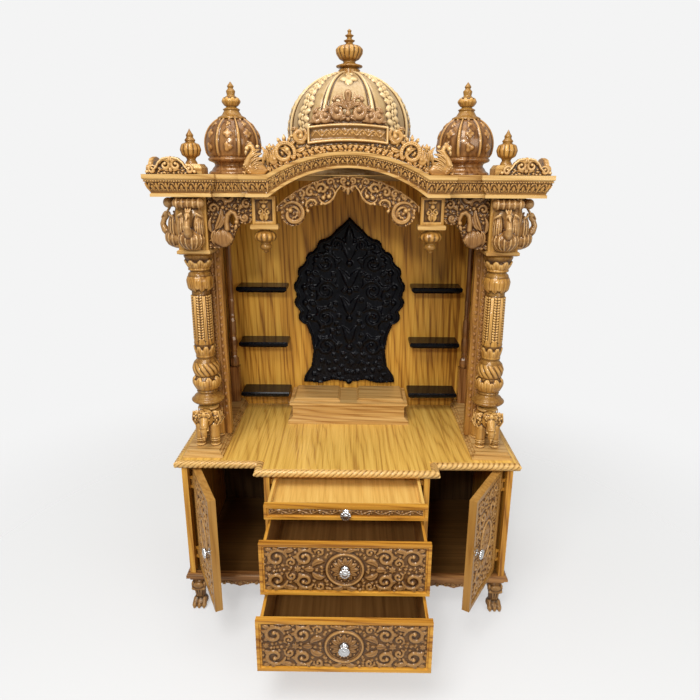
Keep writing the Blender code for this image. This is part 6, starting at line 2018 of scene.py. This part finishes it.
def stage():
    """Pale floor that fades into a white surround, soft lamps and the photograph's camera."""
    bpy.ops.mesh.primitive_circle_add(vertices=96, radius=4.5, fill_type="NGON", location=(0, 0, -0.0005))
    floor = bpy.context.object
    floor.name = "floor"
    material, tree, shader = blank_material("pale_floor")
    shader.inputs["Base Color"].default_value = (0.79, 0.8, 0.81, 1)
    shader.inputs["Roughness"].default_value = 0.6
    coords = tree.nodes.new("ShaderNodeTexCoord")
    length = tree.nodes.new("ShaderNodeVectorMath")
    length.operation = "LENGTH"
    tree.links.new(coords.outputs["Object"], length.inputs[0])
    fade = tree.nodes.new("ShaderNodeMapRange")
    fade.interpolation_type = "SMOOTHSTEP"
    for key, value in (("From Min", 0.8), ("From Max", 2.4), ("To Min", 0.52), ("To Max", 1.0)):
        fade.inputs[key].default_value = value
    tree.links.new(length.outputs["Value"], fade.inputs["Value"])
    clear = tree.nodes.new("ShaderNodeBsdfTransparent")
    blend = tree.nodes.new("ShaderNodeMixShader")
    tree.links.new(fade.outputs["Result"], blend.inputs[0])
    tree.links.new(shader.outputs[0], blend.inputs[1])
    tree.links.new(clear.outputs[0], blend.inputs[2])
    tree.links.new(blend.outputs[0], tree.nodes["Material Output"].inputs["Surface"])
    floor.data.materials.append(material)
    surround()
    lamp("key", (-0.8, -2.0, 4.0), (0, -0.1, 0.7), 1.8, 108)
    lamp("fill", (1.9, -2.6, 2.0), (0, 0.1, 0.8), 1.6, 32)
    lamp("spark", (-0.5, -3.0, 2.5), (0, 0.1, 0.9), 0.35, 34)
    lamp("top", (0.0, 0.2, 3.6), (0, 0.1, 0.8), 1.6, 16)
    camera()


def surround():
    world = bpy.data.worlds.new("surround")
    bpy.context.scene.world = world
    world.use_nodes = True
    tree = world.node_tree
    seen = tree.nodes["Background"]
    seen.inputs["Color"].default_value = (0.905, 0.905, 0.905, 1)
    seen.inputs["Strength"].default_value = 1.0
    light = tree.nodes.new("ShaderNodeBackground")
    light.inputs["Color"].default_value = (1.0, 0.95, 0.88, 1)
    light.inputs["Strength"].default_value = 0.4
    path = tree.nodes.new("ShaderNodeLightPath")
    plain = math_node(tree, "MAXIMUM", path.outputs["Is Camera Ray"], path.outputs["Is Transmission Ray"])
    mix = tree.nodes.new("ShaderNodeMixShader")
    tree.links.new(plain, mix.inputs[0])
    tree.links.new(light.outputs[0], mix.inputs[1])
    tree.links.new(seen.outputs[0], mix.inputs[2])
    tree.links.new(mix.outputs[0], tree.nodes["World Output"].inputs["Surface"])


def lamp(name, place, aim, size, power):
    light = bpy.data.lights.new(name, "AREA")
    light.shape = "SQUARE"
    light.size = size
    light.energy = power
    made = bpy.data.objects.new(name, light)
    bpy.context.scene.collection.objects.link(made)
    made.location = place
    made.rotation_euler = (Vector(aim) - Vector(place)).to_track_quat("-Z", "Y").to_euler()


def camera():
    yaw, pitch, roll = radians(CAMERA_YAW), radians(CAMERA_PITCH), radians(CAMERA_ROLL)
    ahead = Vector((sin(yaw) * cos(pitch), cos(yaw) * cos(pitch), -sin(pitch)))
    right = Vector((cos(yaw), -sin(yaw), 0))
    up = right.cross(ahead)
    across = right * cos(roll) + up * sin(roll)
    above = up * cos(roll) - right * sin(roll)
    data = bpy.data.cameras.new("photograph")
    data.lens = CAMERA_LENS
    data.sensor_width = 36.0
    made = bpy.data.objects.new("photograph", data)
    bpy.context.scene.collection.objects.link(made)
    rotation = Matrix((across, above, -ahead)).transposed().to_4x4()
    made.matrix_world = Matrix.Translation(CAMERA_PLACE) @ rotation
    bpy.context.scene.camera = made


def main():
    bpy.context.scene.view_settings.view_transform = "Standard"
    finish_boards()
    drawer_panels()
    door_panels()
    arch_board()
    spandrels()
    columns()
    roof()
    crest()
    cornice_frieze()
    roof_edges()
    antefixes()
    brackets()
    halo()
    rope()
    knobs()
    elephants()
    feet()
    post_bands()
    apron_carving()
    stage()


main()
